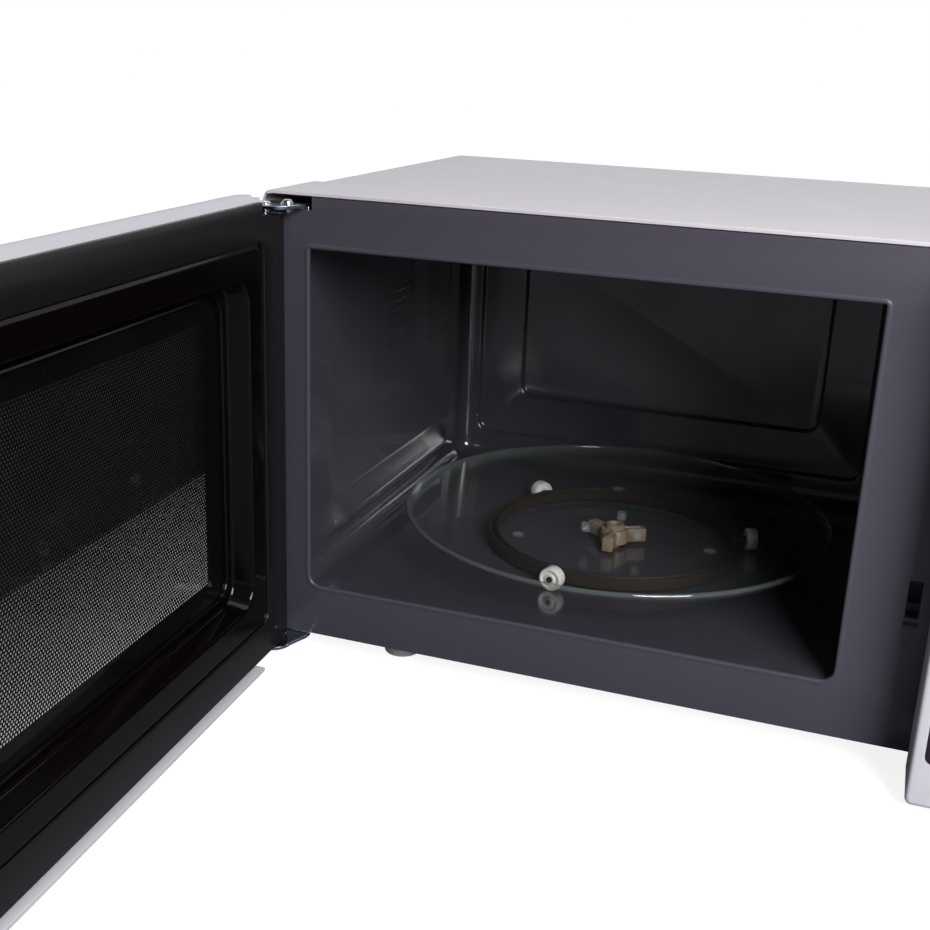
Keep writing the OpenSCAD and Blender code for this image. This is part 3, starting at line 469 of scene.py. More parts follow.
def carve(obj, cutter, sharp=32.0):
    """obj less the closed parts of cutter."""
    verts, faces = cutter
    mesh = bpy.data.meshes.new("cutter")
    mesh.from_pydata([Vector(v) * MM for v in verts], [], faces)
    tool = linked("cutter", mesh)
    tidy(tool)
    cut = obj.modifiers.new("cut", "BOOLEAN")
    cut.operation = "DIFFERENCE"
    cut.solver = "EXACT"
    cut.object = tool
    bpy.context.view_layer.update()
    result = bpy.data.meshes.new_from_object(obj.evaluated_get(bpy.context.evaluated_depsgraph_get()))
    old = obj.data
    obj.modifiers.clear()
    obj.data = result
    result.name = obj.name
    bpy.data.meshes.remove(old)
    bpy.data.objects.remove(tool)
    bpy.data.meshes.remove(mesh)
    tidy(obj, sharp)


def swung(part):
    """Points of a part drawn on the closed door, moved to the open door."""
    return [tuple(SWING @ Vector(v)) for v in part[0]], part[1]


def bevel(obj, width, angle=35.0, segments=2):
    edge = obj.modifiers.new("bevel", "BEVEL")
    edge.width = width * MM
    edge.segments = segments
    edge.limit_method = "ANGLE"
    edge.angle_limit = math.radians(angle)
    edge.harden_normals = False
    even = obj.modifiers.new("normals", "WEIGHTED_NORMAL")
    even.keep_sharp = True


REPLACED = set()


def stands_for(obj, *names):
    """obj shows those CAD nodes and rides with the first one's body."""
    REPLACED.update(names)
    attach(obj, BODY_OF[names[0]])
    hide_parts(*names)


def piece(node, part, finish, **how):
    """A mesh that shows one CAD node."""
    obj = mesh_object(node + "_look", *part, finish, **how)
    stands_for(obj, node)
    return obj


def adds(obj, body):
    """obj is a detail that rides on a body and stands for no CAD node."""
    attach(obj, body)


# ---------------------------------------------------------------- front plate

def front_plate():
    outer = (-224.9, 15.2, 224.9, 268.5)
    corner = (7, 7, 1.2, 1.2)

    def edge(grow, y):
        return upright(loop(*inset(OPEN, -grow), [r + grow for r in corner], 8), y)

    def rim(d, y):
        return upright(loop(*inset(outer, d), 6 - d, 8), y)

    rolled = [(3.2, 0.0), (2.6, 0.10), (2.0, 0.34), (1.4, 0.48), (0.8, 0.44), (0.3, 0.15), (0.0, -0.35),
              (0.0, -1.5), (0.8, -1.5), (0.9, -0.8)]
    loops = [rim(0, FRONT + SHEET), rim(0, FRONT + 0.35), rim(0.12, FRONT + 0.12), rim(0.4, FRONT)]
    loops += [edge(grow, FRONT - rise) for grow, rise in rolled]
    obj = mesh_object("front_plate_look", *skin(loops, ring=True), "plate_paint")
    cuts = [box((-226, -150, TONGUE_TOP - 1), (-196.4, -146, 282))]
    for z in SLOT_ZS:
        cuts.append(soft_plate(around(SLOT_X, z, 3.6, 10), -150, -146, 1.2, 0.05))
        cuts.append(soft_plate((SLOT_X - 3.6, z - 15.3, SLOT_X + 3.6, z - 11.7), -150, -146, 0.8, 0.05))
    cuts.append(soft_plate((158, 64, 172, 78), -150, -146, 1, 0.05))
    cuts.append(soft_plate((166, 130, 206, 190), -150, -146, 4, 0.05))
    carve(obj, merge(*cuts))
    flange = mesh_object("front_plate_flange", *box((-195, FRONT + SHEET, 267.7), (217.9, -136, 268.5)),
                         "plate_paint")
    bevel(flange, 0.3)
    stands_for(obj, "front_plate")
    adds(flange, "oven")
    # Turned-in edges of the latch slots
    for k, z in enumerate(SLOT_ZS):
        lip = [upright(loop(SLOT_X - 3.6 + d, z - 10 + d / 2, SLOT_X + 3.6 - d, z + 10 - d / 2, 0.5, 4), y)
               for d, y in ((0.0, FRONT + 0.1), (0.35, FRONT + 0.1), (0.55, FRONT + 0.6), (0.55, FRONT + 3),
                            (0.0, FRONT + 3))]
        adds(mesh_object("slot_lip_%d" % (k + 1), *skin(lip, ring=True), "plate_paint"), "oven")


# ---------------------------------------------------------------- cavity

LEDGE = [(56.5, 0), (57.4, 0.35), (58.6, 1.3), (60.5, 3.2), (63.0, 6.0), (64.6, 7.6), (66.0, 8.6),
         (68.0, 9.0), (70.0, 8.7), (71.6, 7.9), (74.5, 5.6), (78.0, 3.2), (80.8, 1.3), (82.4, 0.4),
         (83.6, 0)]


def ledge_reach(y):
    """How far the side ledge stands out at one depth, from 0 to 1."""
    t = min((y + 104) / 9.0, (88 - y) / 11.0, 1.0)
    return 0.0 if t <= 0 else math.sin(t * math.pi / 2) ** 1.5


def cavity_section(y, rect, r, grow, walls):
    """One closed section of the liner, with the ledges when walls is true."""
    x0, z0, x1, z1 = inset(rect, -grow)
    arcs = loop(x0, z0, x1, z1, r + grow, 7)
    low, high = z0 + r + grow, z1 - r - grow
    full_low, full_high = CAV[1] + 9, CAV[3] - 9
    heights = [(low + (z - full_low) * (high - low) / (full_high - full_low), d) for z, d in LEDGE]
    right = [(x1 - walls * d, z) for z, d in heights]
    left = [(x0 + walls * d, z) for z, d in reversed(heights)]
    points = arcs[:16] + right + arcs[16:] + left
    return upright(points, y)


def cavity():
    stations = [(y, CAV, 9) for y in (-147.2, -120, -104, -101, -98.5, -96, -92, -60, 0, 60, 72, 77, 80,
                                      82.5, 85, 88, 110, 128)]
    for k in range(1, 7):
        a = math.radians(15 * k)
        d = 9 * (1 - math.cos(a))
        stations.append((129 + 9 * math.sin(a), inset(CAV, d), max(1.5, 9 - 0.35 * d)))
    inner = [cavity_section(y, rect, r, 0, ledge_reach(y)) for y, rect, r in stations]
    outer = [cavity_section(min(y, 138.0) + (0.8 if i == len(stations) - 1 else 0), rect, r, SHEET,
                            ledge_reach(y)) for i, (y, rect, r) in enumerate(stations)]

    def stamp(rect, depth, radius):
        """Loops down one soft step of the back wall."""
        found = []
        for t in (-0.5, -0.38, -0.2, 0.0, 0.2, 0.38, 0.5):
            s = 0.5 + 0.5 * math.sin(t * math.pi)
            grow = 3.0 * (0.5 - t) - 1.0
            found.append((138 + depth + 3 * s, inset(rect, -grow), radius + grow))
        return found

    step_0 = (-193.5, 63.5, 92.5, 225.0)
    step_1 = (-160.5, 94.5, 59.5, 217.0)
    back = stamp(step_0, 0, 9) + stamp(step_1, 3, 9)
    front_side = [cavity_section(y, rect, r, 0, 0) for y, rect, r in back]
    rear_side = [cavity_section(y + SHEET, rect, r, SHEET * 0.5, 0) for y, rect, r in back]
    flange = [cavity_section(-147.2, CAV, 9, 8, 0), cavity_section(-146.4, CAV, 9, 8, 0)]
    flat_in = [cavity_section(138.0, inset(CAV, 9.5), 5, 0, 0)]
    run = [flange[0]] + inner + flat_in + front_side
    run_back = [flange[1], cavity_section(-146.4, CAV, 9, SHEET, 0)] + outer[1:] + rear_side
    inside, faces_in = skin(run, caps=False)
    outside, faces_out = skin(run_back, caps=False)
    verts, faces = merge((inside, faces_in), (outside, faces_out))
    n = len(run[0])
    rear = len(inside)
    for k in range(n):
        m = (k + 1) % n
        faces.append((k, m, rear + m, rear + k))
    faces.append(tuple(range(len(inside) - n, len(inside))))
    faces.append(tuple(range(len(verts) - n, len(verts))))
    obj = mesh_object("cavity_look", verts, faces, "cavity_paint", sharp=50)
    patches = []
    cuts = []
    for side, y0, z0, columns, rows in ((0, -15, 156, 9, 10), (0, 57, 152, 8, 13), (1, -80, 156, 6, 10),
                                        (1, -104, 184, 3, 6)):
        area = (y0 - 2.5, z0 - 2.2, y0 + 5 * columns, z0 + 4.35 * (rows - 1) + 2.2)
        x0, x1 = (CAV[2], CAV[2] + SHEET) if side else (CAV[0] - SHEET, CAV[0])
        cuts.append(box((x0 - 1.5, area[0] + 0.02, area[1] + 0.02),
                        (x1 + 1.5, area[2] - 0.02, area[3] - 0.02)))
        patches.append(perforated(area, x0, x1, 3.6, 1.15, lambda u, v, d: (d, u, v)))
    cuts.append(box((CAV[2] - 2, -38, 151), (CAV[2] + 2, 42, 211)))
    cuts.append(rod(8, TT_FLOOR - 2, TT_FLOOR + 2, (*TT, 0)))
    carve(obj, merge(*cuts), sharp=50)
    stands_for(obj, "cavity")
    screen = mesh_object("cavity_vent_screens", *merge(*patches), "cavity_paint")
    adds(screen, "oven")


# ---------------------------------------------------------------- outer cover and back

def cover_section(y, top, top_t, d):
    """Wrap of the cover at one depth: points out along the outside and back along the inside."""
    def path(grow, head):
        x0, x1 = LEFT + grow, RIGHT - grow
        r = 7 - grow * 0.9
        points = [(x0, 17 + d), (x0, 60), (x0, 130), (x0, 200)]
        for k in range(9):
            a = math.radians(180 - 90 * k / 8)
            points.append((x0 + r + r * math.cos(a), head - r + r * math.sin(a)))
        points += [(x0 + 60, head), (0, head), (x1 - 60, head)]
        for k in range(9):
            a = math.radians(90 - 90 * k / 8)
            points.append((x1 - r + r * math.cos(a), head - r + r * math.sin(a)))
        return points + [(x1, 200), (x1, 130), (x1, 60), (x1, 17 + d)]

    return upright(path(d, top - d), y), upright(path(SHEET - d * 0.5, top - top_t + d * 0.5), y)


def outer_cover():
    band, top = 270.8, 269.4
    loops = []
    for y, head, thick, d in (
            (-149.0, band, 2.0, 0.38), (-148.85, band, 2.0, 0.15), (-148.5, band, 2.0, 0.0),
            (-147.6, band, 2.0, 0.0), (-147.3, band, 1.4, 0.0), (-147.0, band, SHEET, 0.0),
            (-97.5, band, SHEET, 0.0), (-96.2, 270.72, SHEET, 0.0), (-94.8, 270.35, SHEET, 0.0),
            (-93.2, 269.85, SHEET, 0.0), (-91.8, 269.5, SHEET, 0.0), (-90.5, top, SHEET, 0.0),
            (147.4, top, SHEET, 0.0), (147.8, top, SHEET, 0.1), (148.0, top, SHEET, 0.3)):
        out, back = cover_section(y, head, thick, d)
        loops.append(out + back[::-1])
    verts, faces = skin(loops, caps=False)
    n = len(loops[0])
    for base in (0, (len(loops) - 1) * n):
        for k in range(n // 2 - 1):
            faces.append((base + k, base + k + 1, base + n - 2 - k, base + n - 1 - k))
    obj = mesh_object("outer_cover_look", verts, faces, "cover_paint", sharp=45)
    cuts = []
    for x, y, z, columns in ((LEFT, 40, 170, 9), (RIGHT, -60, 130, 14)):
        for i in range(columns):
            for j in (0, 1):
                slot = loop(0, 0, 3.5, 22, 1.7, 4)
                cuts.append(skin([[(x + dx, u + y + i * 8, v + z + j * 30) for u, v in slot]
                                  for dx in (-3, 3)]))
    cuts.append(box((LEFT - 1, -150, 261), (LEFT + 5, -147.2, 268.6)))
    carve(obj, merge(*cuts), sharp=45)
    stands_for(obj, "outer_cover")


# ---------------------------------------------------------------- door

def door_frame():
    x0, z0, x1, z1 = DOOR
    window = (-186.0, 47.0, 96.6, 230.0)
    pocket = (-192.0, 41.0, 102.6, 236.0)
    loops = [upright(loop(*window, 8, 7), DOOR_OUT + 0.35),
             upright(loop(*inset(window, -0.35), 8.3, 7), DOOR_OUT)]
    big, small = 12.0, 2.2
    for k in range(9):
        a = math.radians(90 * k / 8)
        dx = big * (1 - math.sin(a))
        d = small * (1 - math.sin(a))
        y = DOOR_OUT + big * (1 - math.cos(a))
        loops.append(upright(loop(x0 + dx, z0 + d, x1 - d, z1 - d, 4, 7), y))
    loops += [upright(loop(*inset(DOOR, d), r, 7), y)
              for d, r, y in ((0, 4, -151.0), (0.4, 3.7, -150.5), (2.1, 2.3, -150.5), (2.5, 2, -151.0))]
    for k in range(8, -1, -1):
        a = math.radians(90 * k / 8)
        dx = (big - 2.5) * (1 - math.sin(a))
        y = DOOR_OUT + 2.5 + (big - 2.5) * (1 - math.cos(a))
        loops.append(upright(loop(x0 + 2.5 + dx, z0 + 2.5, x1 - 2.5, z1 - 2.5, 2, 7), y))
    loops += [upright(loop(*pocket, 10, 7), -179.0), upright(loop(*pocket, 10, 7), DOOR_OUT + 1.2),
              upright(loop(*window, 8, 7), DOOR_OUT + 1.2)]
    obj = mesh_object("door_frame_look", *skin(loops, ring=True), "white_plastic", door=True, sharp=40)
    hx, hy = HINGE
    cuts = [box((x0 - 1, hy + 7, 0), (x0 + 8, DOOR_IN + 1, 300)),
            box((x0 - 1, hy - 10.75, TONGUE_TOP - 1.2), (x0 + 12, DOOR_IN + 1, z1 + 1)),
            box((x0 - 1, hy - 0.8, TONGUE_TOP - STUD_ROOM), (hx + 16, DOOR_IN + 1.1, z1 + 1.1)),
            box((x0 - 1.1, DOOR_IN - 26, z0 - 1), (SEAL[0] + 24, DOOR_IN + 1.2, 15)),
            box((SEAL[0] - 0.2, DOOR_IN - 2.7, SEAL[1] - 0.2),
                (SEAL[2] + 0.2, DOOR_IN + 1.3, SEAL[3] + 1.2)),
            box((SEAL[0] + 15, DOOR_IN - 3.6, z1 - 3.5), (SEAL[2] - 15, DOOR_IN + 1.4, SEAL[3] + 1.4))]
    for cut in cuts:
        carve(obj, swung(cut), sharp=40)
    rib = mesh_object("door_frame_rib",
                      *soft_box((122.4, MESH_Y - 5.4, 225.6), (134.2, DOOR_IN - 3.6, 227.6), 0.4),
                      "white_plastic", door=True)
    stands_for(obj, "door_frame")
    adds(rib, "door")
    # Ribs inside the moulding
    ribs = []
    for x in (-150, -100, -50, 0, 50, 100):
        ribs.append(soft_box((x, DOOR_OUT + 2.4, 7.2), (x + 1.6, DOOR_IN - 7, 14.5), 0.3))
        ribs.append(soft_box((x, DOOR_OUT + 2.4, 258.5), (x + 1.6, DOOR_IN - 7.6, 265.8), 0.3))
    adds(mesh_object("door_frame_inner_ribs", *merge(*ribs), "white_plastic", door=True), "door")


def choke_radius(d):
    """Corner radius of the choke cover at a distance d in from its edge."""
    marks = [(0, 2.0), (20, 7.0), (36, 14.0), (39, 13.0), (46, 10.0)]
    for (a, p), (b, q) in zip(marks, marks[1:]):
        if d <= b:
            return p + (q - p) * (d - a) / (b - a)
    return marks[-1][1]


def door_choke_cover():
    def cut_ring(profile, name, finish):
        loops = [upright(loop(*inset(SEAL, d), choke_radius(d), 9), DOOR_IN - depth)
                 for d, depth in profile]
        return mesh_object(name, *skin(loops, ring=True), finish, door=True, sharp=48)

    border = [(0, 2.5), (0, 0.4), (0.12, 0.12), (0.4, 0.0), (18.9, 0.0), (19.3, 0.06), (19.6, 0.25),
              (19.75, 0.6), (19.75, 2.5)]
    channel = [(19.75, 3.4), (19.75, 1.25), (20.1, 1.32), (20.7, 1.25), (21.2, 1.0), (21.7, 0.66),
               (22.3, 0.52), (23, 0.5), (34.7, 0.5), (35.2, 0.56), (35.6, 0.72), (35.95, 1.0), (36.2, 1.5),
               (36.6, 3.0), (38.6, 10.8), (38.85, 11.6), (39.15, 12.1), (39.6, 12.45), (40.2, 12.6),
               (42.6, 12.6), (43.3, 12.5), (43.7, 12.2), (44.1, 12.05), (44.5, 12.15), (44.8, 12.6),
               (45.0, 13.2), (45.0, 15.4), (37.4, 15.4), (35.0, 3.4)]
    flat = cut_ring(border, "door_seal_border", "seal_black")
    bowl = cut_ring(channel, "door_choke_cover_look", "black_gloss")
    cuts = [box((SEAL[0] - 1, DOOR_IN - 9, TONGUE_TOP - 1.4), (HINGE[0] + 22.5, DOOR_IN + 1, 270)),
            box((SEAL[0] - 1.1, HINGE[1] - 0.8, TONGUE_TOP - STUD_ROOM),
                (HINGE[0] + 16, DOOR_IN + 1.1, 271))]
    for z in SLOT_ZS:
        cuts.append(box((SLOT_X - 4.2, DOOR_IN - 4, z - 8), (SLOT_X + 2.6, DOOR_IN + 1, z + 13)))
    for cut in cuts:
        carve(flat, swung(cut), sharp=48)
    stands_for(bowl, "door_choke_cover")
    edge = mesh_object("door_hinge_edge", *soft_plate((-225.6, 15.2, -217.2, 259.4), -152.05, -151.6, 1.0,
                                                      0.15), "seal_black", door=True)
    adds(edge, "door")
    adds(flat, "door")


def door_mesh():
    win = inset(SEAL, 45)
    area = inset(win, 11.5)
    sheet = perforated(area, MESH_Y - 0.35, MESH_Y, 2.0, 0.74, lambda u, v, d: (u, d, v))

    def at(rect, y, r):
        return upright(loop(*rect, r, 5), y)

    margin = [at(area, MESH_Y - 0.35, 0.05), at(area, MESH_Y, 0.05), at(inset(win, -2), MESH_Y, 3),
              at(inset(win, -3.4), MESH_Y - 0.5, 4), at(inset(win, -4), MESH_Y - 1.6, 4.5),
              at(inset(win, -4), MESH_Y - 5.6, 4.5), at(inset(win, -5), MESH_Y - 6.2, 5),
              at(inset(SEAL, 9), MESH_Y - 6.0, 5), at(inset(SEAL, 9), MESH_Y - 6.8, 5),
              at(inset(win, -4), MESH_Y - 6.8, 5), at(inset(win, -3.2), MESH_Y - 6.0, 4),
              at(inset(win, -3.2), MESH_Y - 1.6, 4), at(inset(win, -2), MESH_Y - 0.6, 3)]
    piece("door_mesh_panel", merge(sheet, skin(margin, ring=True)), "mesh_black", door=True)


def door_small_parts():
    pocket = (-191.8, 41.2, 102.4, 235.8)
    glass = mesh_object("door_glass_look", *soft_plate(pocket, DOOR_OUT + 1.2, DOOR_OUT + 4.2, 9.8, 0.4),
                        "smoked_glass", door=True)
    glass.data.materials.append(LOOKS["outer_gloss"])
    for face in glass.data.polygons:
        face.material_index = int(face.normal.x < -0.5)
    stands_for(glass, "door_glass")
    film_rect = inset(SEAL, 40)
    piece("door_film", soft_plate(film_rect, FILM_Y - 0.6, FILM_Y - 0.1, 2, 0.08), "film", door=True)
    hx, hy = HINGE
    bushes = []
    for z in BUSH_ZS:
        bushes.append(soft_box((hx - 4.8, hy - 6, z), (hx + 12, hy + 6.2, z + BUSH_H), 0.6))
    obj = mesh_object("door_hinge_bushes_look", *merge(*bushes), "bush_grey", door=True)
    for z in BUSH_ZS:
        carve(obj, swung(rod(2.55, z - 1, z + 13, (hx, hy, 0), segments=32)))
    stands_for(obj, "door_hinge_bushes")
    # Wound spring
    coil = []
    turns, steps, length = 9, 16, 23.0
    cx, cy, base = 127.6, DOOR_IN - 8.2, SLOT_ZS[1] + 12.3
    for k in range(turns * steps + 1):
        a = 2 * math.pi * k / steps
        coil.append((cx + 2.6 * math.cos(a), cy + 2.6 * math.sin(a),
                     base + 0.5 + length * k / (turns * steps)))
    spring = piece("latch_spring", tube(coil, 0.42, 8), "bright_steel", door=True)
    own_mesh(spring)


# ---------------------------------------------------------------- hinges

def tongue(z0, z1, wide):
    """A flat hinge tongue with a rounded front."""
    hx, hy = HINGE
    points = [(hx - 5.5, hy + 13), (hx - 5.5, hy + 7.2)]
    for k in range(13):
        a = math.radians(140 + 130 * k / 12)
        points.append((hx + 9 * math.cos(a), hy + 9 * math.sin(a)))
    r = 11 if wide else 8
    cx, cy = (hx + 4, hy - 4) if wide else (hx + 8, hy - 1)
    for k in range(13):
        a = math.radians(-90 + 90 * k / 12)
        points.append((cx + r * math.cos(a), cy + r * math.sin(a)))
    points += [(max(hx + 19.5, cx + r + 1), hy + 9), (hx + 19.5, hy + 10.5), (hx + 19.5, hy + 13)]
    loops = []
    for z, d in ((z0, 0.35), (z0 + 0.35, 0), (z1 - 0.35, 0), (z1, 0.35)):
        ox, oy = hx + 6, hy + 2
        loops.append([(ox + (x - ox) * (1 - d / 12), oy + (y - oy) * (1 - d / 12), z) for x, y in points])
    return skin(loops)


def hinges():
    hx, hy = HINGE
    top = TONGUE_TOP + 0.2
    upper = merge(tongue(top, top + 2, False),
                  soft_box((hx - 5.5, FRONT + 0.8, top - 10), (hx + 19.5, FRONT + 2.4, top + 2), 0.3))
    piece("top_hinge_bracket", upper, "zinc_blue")
    low = 12.6
    lower = merge(tongue(low, low + 2, True),
                  soft_box((hx - 5.5, FRONT + 0.8, low), (hx + 19.5, FRONT + 1.9, low + 22), 0.3))
    piece("bottom_hinge_bracket", lower, "zinc_blue")
    sx, sy, sz = hx + 11.5, hy + 3.5, top - 2.4
    stud = lathe([(0, sz), (2.0, sz), (2.3, sz + 0.4), (3.2, sz + 2.2), (3.3, sz + 2.39), (1.6, sz + 2.4),
                  (1.6, sz + 4.4), (3.5, sz + 4.41), (3.6, sz + 4.6), (3.6, sz + 5.4), (3.5, sz + 5.6),
                  (2.9, sz + 5.61), (2.75, sz + 6.1), (2.3, sz + 6.7), (1.4, sz + 7.0), (0, sz + 7.0)],
                 (sx, sy, 0), segments=40)
    upper_pin = lathe([(0, top - 12), (2.2, top - 12), (2.5, top - 11.7), (2.5, top), (1.6, top),
                       (1.6, top + 2), (3.5, top + 2), (3.55, top + 2.3), (3.2, top + 2.9),
                       (2.4, top + 3.3), (1.2, top + 3.4), (0, top + 3.4)], (hx, hy, 0), segments=40)
    base = 14.6
    lower_pin = lathe([(0, base - 3.4), (1.4, base - 3.4), (2.6, base - 3.3), (3.4, base - 2.6),
                       (3.6, base - 2.1), (3.5, base - 2), (1.6, base - 2), (1.6, base), (2.5, base),
                       (2.5, base + 11.7), (2.2, base + 12), (0, base + 12)], (hx, hy, 0), segments=40)
    piece("hinge_pins", merge(stud, upper_pin, lower_pin), "bright_steel")


# ---------------------------------------------------------------- turntable

def turntable():
    cx, cy = TT
    r, g, t = 135.0, GLASS_Z, 4.0
    rim = 69.5
    profile = [(0, g), (60, g), (61, g - 0.05), (61.6, g + 0.15), (62.4, g + 0.15), (63, g), (r - 17, g),
               (r - 13, g + 0.3), (r - 9, g + 1.2), (r - 5, g + 3.2), (r - 2.4, rim - 4.6),
               (r - 1.0, rim - 3.2), (r - 0.2, rim - 2.2), (r, rim - 1.5), (r - 0.3, rim - 0.6),
               (r - 1.0, rim - 0.1), (r - 1.9, rim), (r - 2.8, rim - 0.4), (r - 3.6, rim - 1.3),
               (r - 6.4, rim - 3.7), (r - 10.5, g + t + 1.5), (r - 14, g + t + 0.45), (r - 19, g + t),
               (60, g + t), (0, g + t)]
    parts = [lathe(profile, (cx, cy, 0), segments=144)]
    for a in thirds(90):
        x, y = cx + 19.5 * math.cos(a), cy + 19.5 * math.sin(a)
        parts.append(lathe([(0, g - 5), (2.2, g - 5), (2.8, g - 4.6), (3.0, g - 3.8), (3.1, g + 0.4),
                            (0, g + 0.4)], (x, y, 0), segments=32))
    for a in thirds(101.3):
        x, y = cx + 68 * math.cos(a), cy + 68 * math.sin(a)
        parts.append(lathe([(0, g - 1.6), (2.2, g - 1.55), (3.2, g - 1.1), (3.9, g - 0.4), (4.4, g + 0.3),
                            (0, g + 0.3)], (x, y, 0), segments=32))
    obj = mesh_object("glass_turntable_look", *merge(*parts), "clear_glass", sharp=50)
    # Faces below the plate's underside get the lighter lug glass: painted glints
    obj.data.materials.append(LOOKS["lug_painted_glint"])
    for face in obj.data.polygons:
        face.material_index = int(face.center.z < (g - 0.3) * MM)
    stands_for(obj, "glass_turntable")

    ring = [(75.0, 47.6), (75.3, 47.3), (80.7, 47.3), (81.0, 47.6), (81.0, 54.0), (80.7, 54.3),
            (79.6, 54.3), (79.4, 54.0), (79.2, 50.2), (78.8, 49.8), (77.2, 49.8), (76.8, 50.2),
            (76.6, 54.0), (76.4, 54.3), (75.3, 54.3), (75.0, 54.0)]
    parts = [lathe(ring, (cx, cy, 0), segments=120)]
    for a in thirds(ROLLER_ANGLE):
        lug = soft_box((cx + 76.8, cy - 4, WHEEL_Z - 4), (cx + 83.5, cy + 4, WHEEL_Z + 2), 0.7)
        pin = lathe([(0, 79), (1.8, 79), (1.8, 91.9), (1.5, 92.4), (0, 92.5)], (cx, cy, WHEEL_Z), "x", 28)
        parts += [turned(lug, a, (cx, cy)), turned(pin, a, (cx, cy))]
    piece("roller_ring", merge(*parts), "amber", sharp=40)
    for k, a in enumerate(thirds(ROLLER_ANGLE)):
        wheel = [(1.85, 84.7), (2.9, 84.5), (3.1, 84.9), (3.2, 85.4), (5.3, 85.4), (5.5, 84.9), (5.7, 84.5),
                 (6.4, 84.5), (6.8, 84.7), (7.0, 85.2), (7.0, 90.8), (6.8, 91.3), (6.4, 91.5), (5.7, 91.5),
                 (5.5, 91.1), (5.3, 90.6), (3.2, 90.6), (3.1, 91.1), (2.9, 91.5), (1.85, 91.3)]
        part = turned(lathe(wheel, (cx, cy, WHEEL_Z), "x", 48), a, (cx, cy))
        piece("roller_wheel_%d" % (k + 1), part, "wheel_white", sharp=35)

    z0, top = 46.5, 58.8
    parts = [lathe([(0, 34), (2.7, 34), (3, 34.3), (3, z0 + 0.2), (8.6, z0), (9, z0 + 0.4), (9, top - 3.6),
                    (8.6, top - 3.1), (6.6, top - 3.0), (6.1, top - 2.8), (6.0, top - 2.4),
                    (6.0, top - 0.5), (5.6, top - 0.05), (4.0, top), (3.8, top - 0.5), (3.6, top - 2.2),
                    (0, top - 2.4)], (cx, cy, 0), segments=60)]
    for a in thirds(30):
        arm = soft_box((cx + 2, cy - 3.5, z0), (cx + 20.5, cy + 3.5, z0 + 9), 0.9)
        rib = soft_box((cx + 5, cy - 0.9, z0 + 8.6), (cx + 17, cy + 0.9, z0 + 10.0), 0.4)
        parts += [turned(arm, a, (cx, cy)), turned(rib, a, (cx, cy))]
    piece("turntable_coupler", merge(*parts), "coupler_beige", sharp=40)


# ---------------------------------------------------------------- control panel

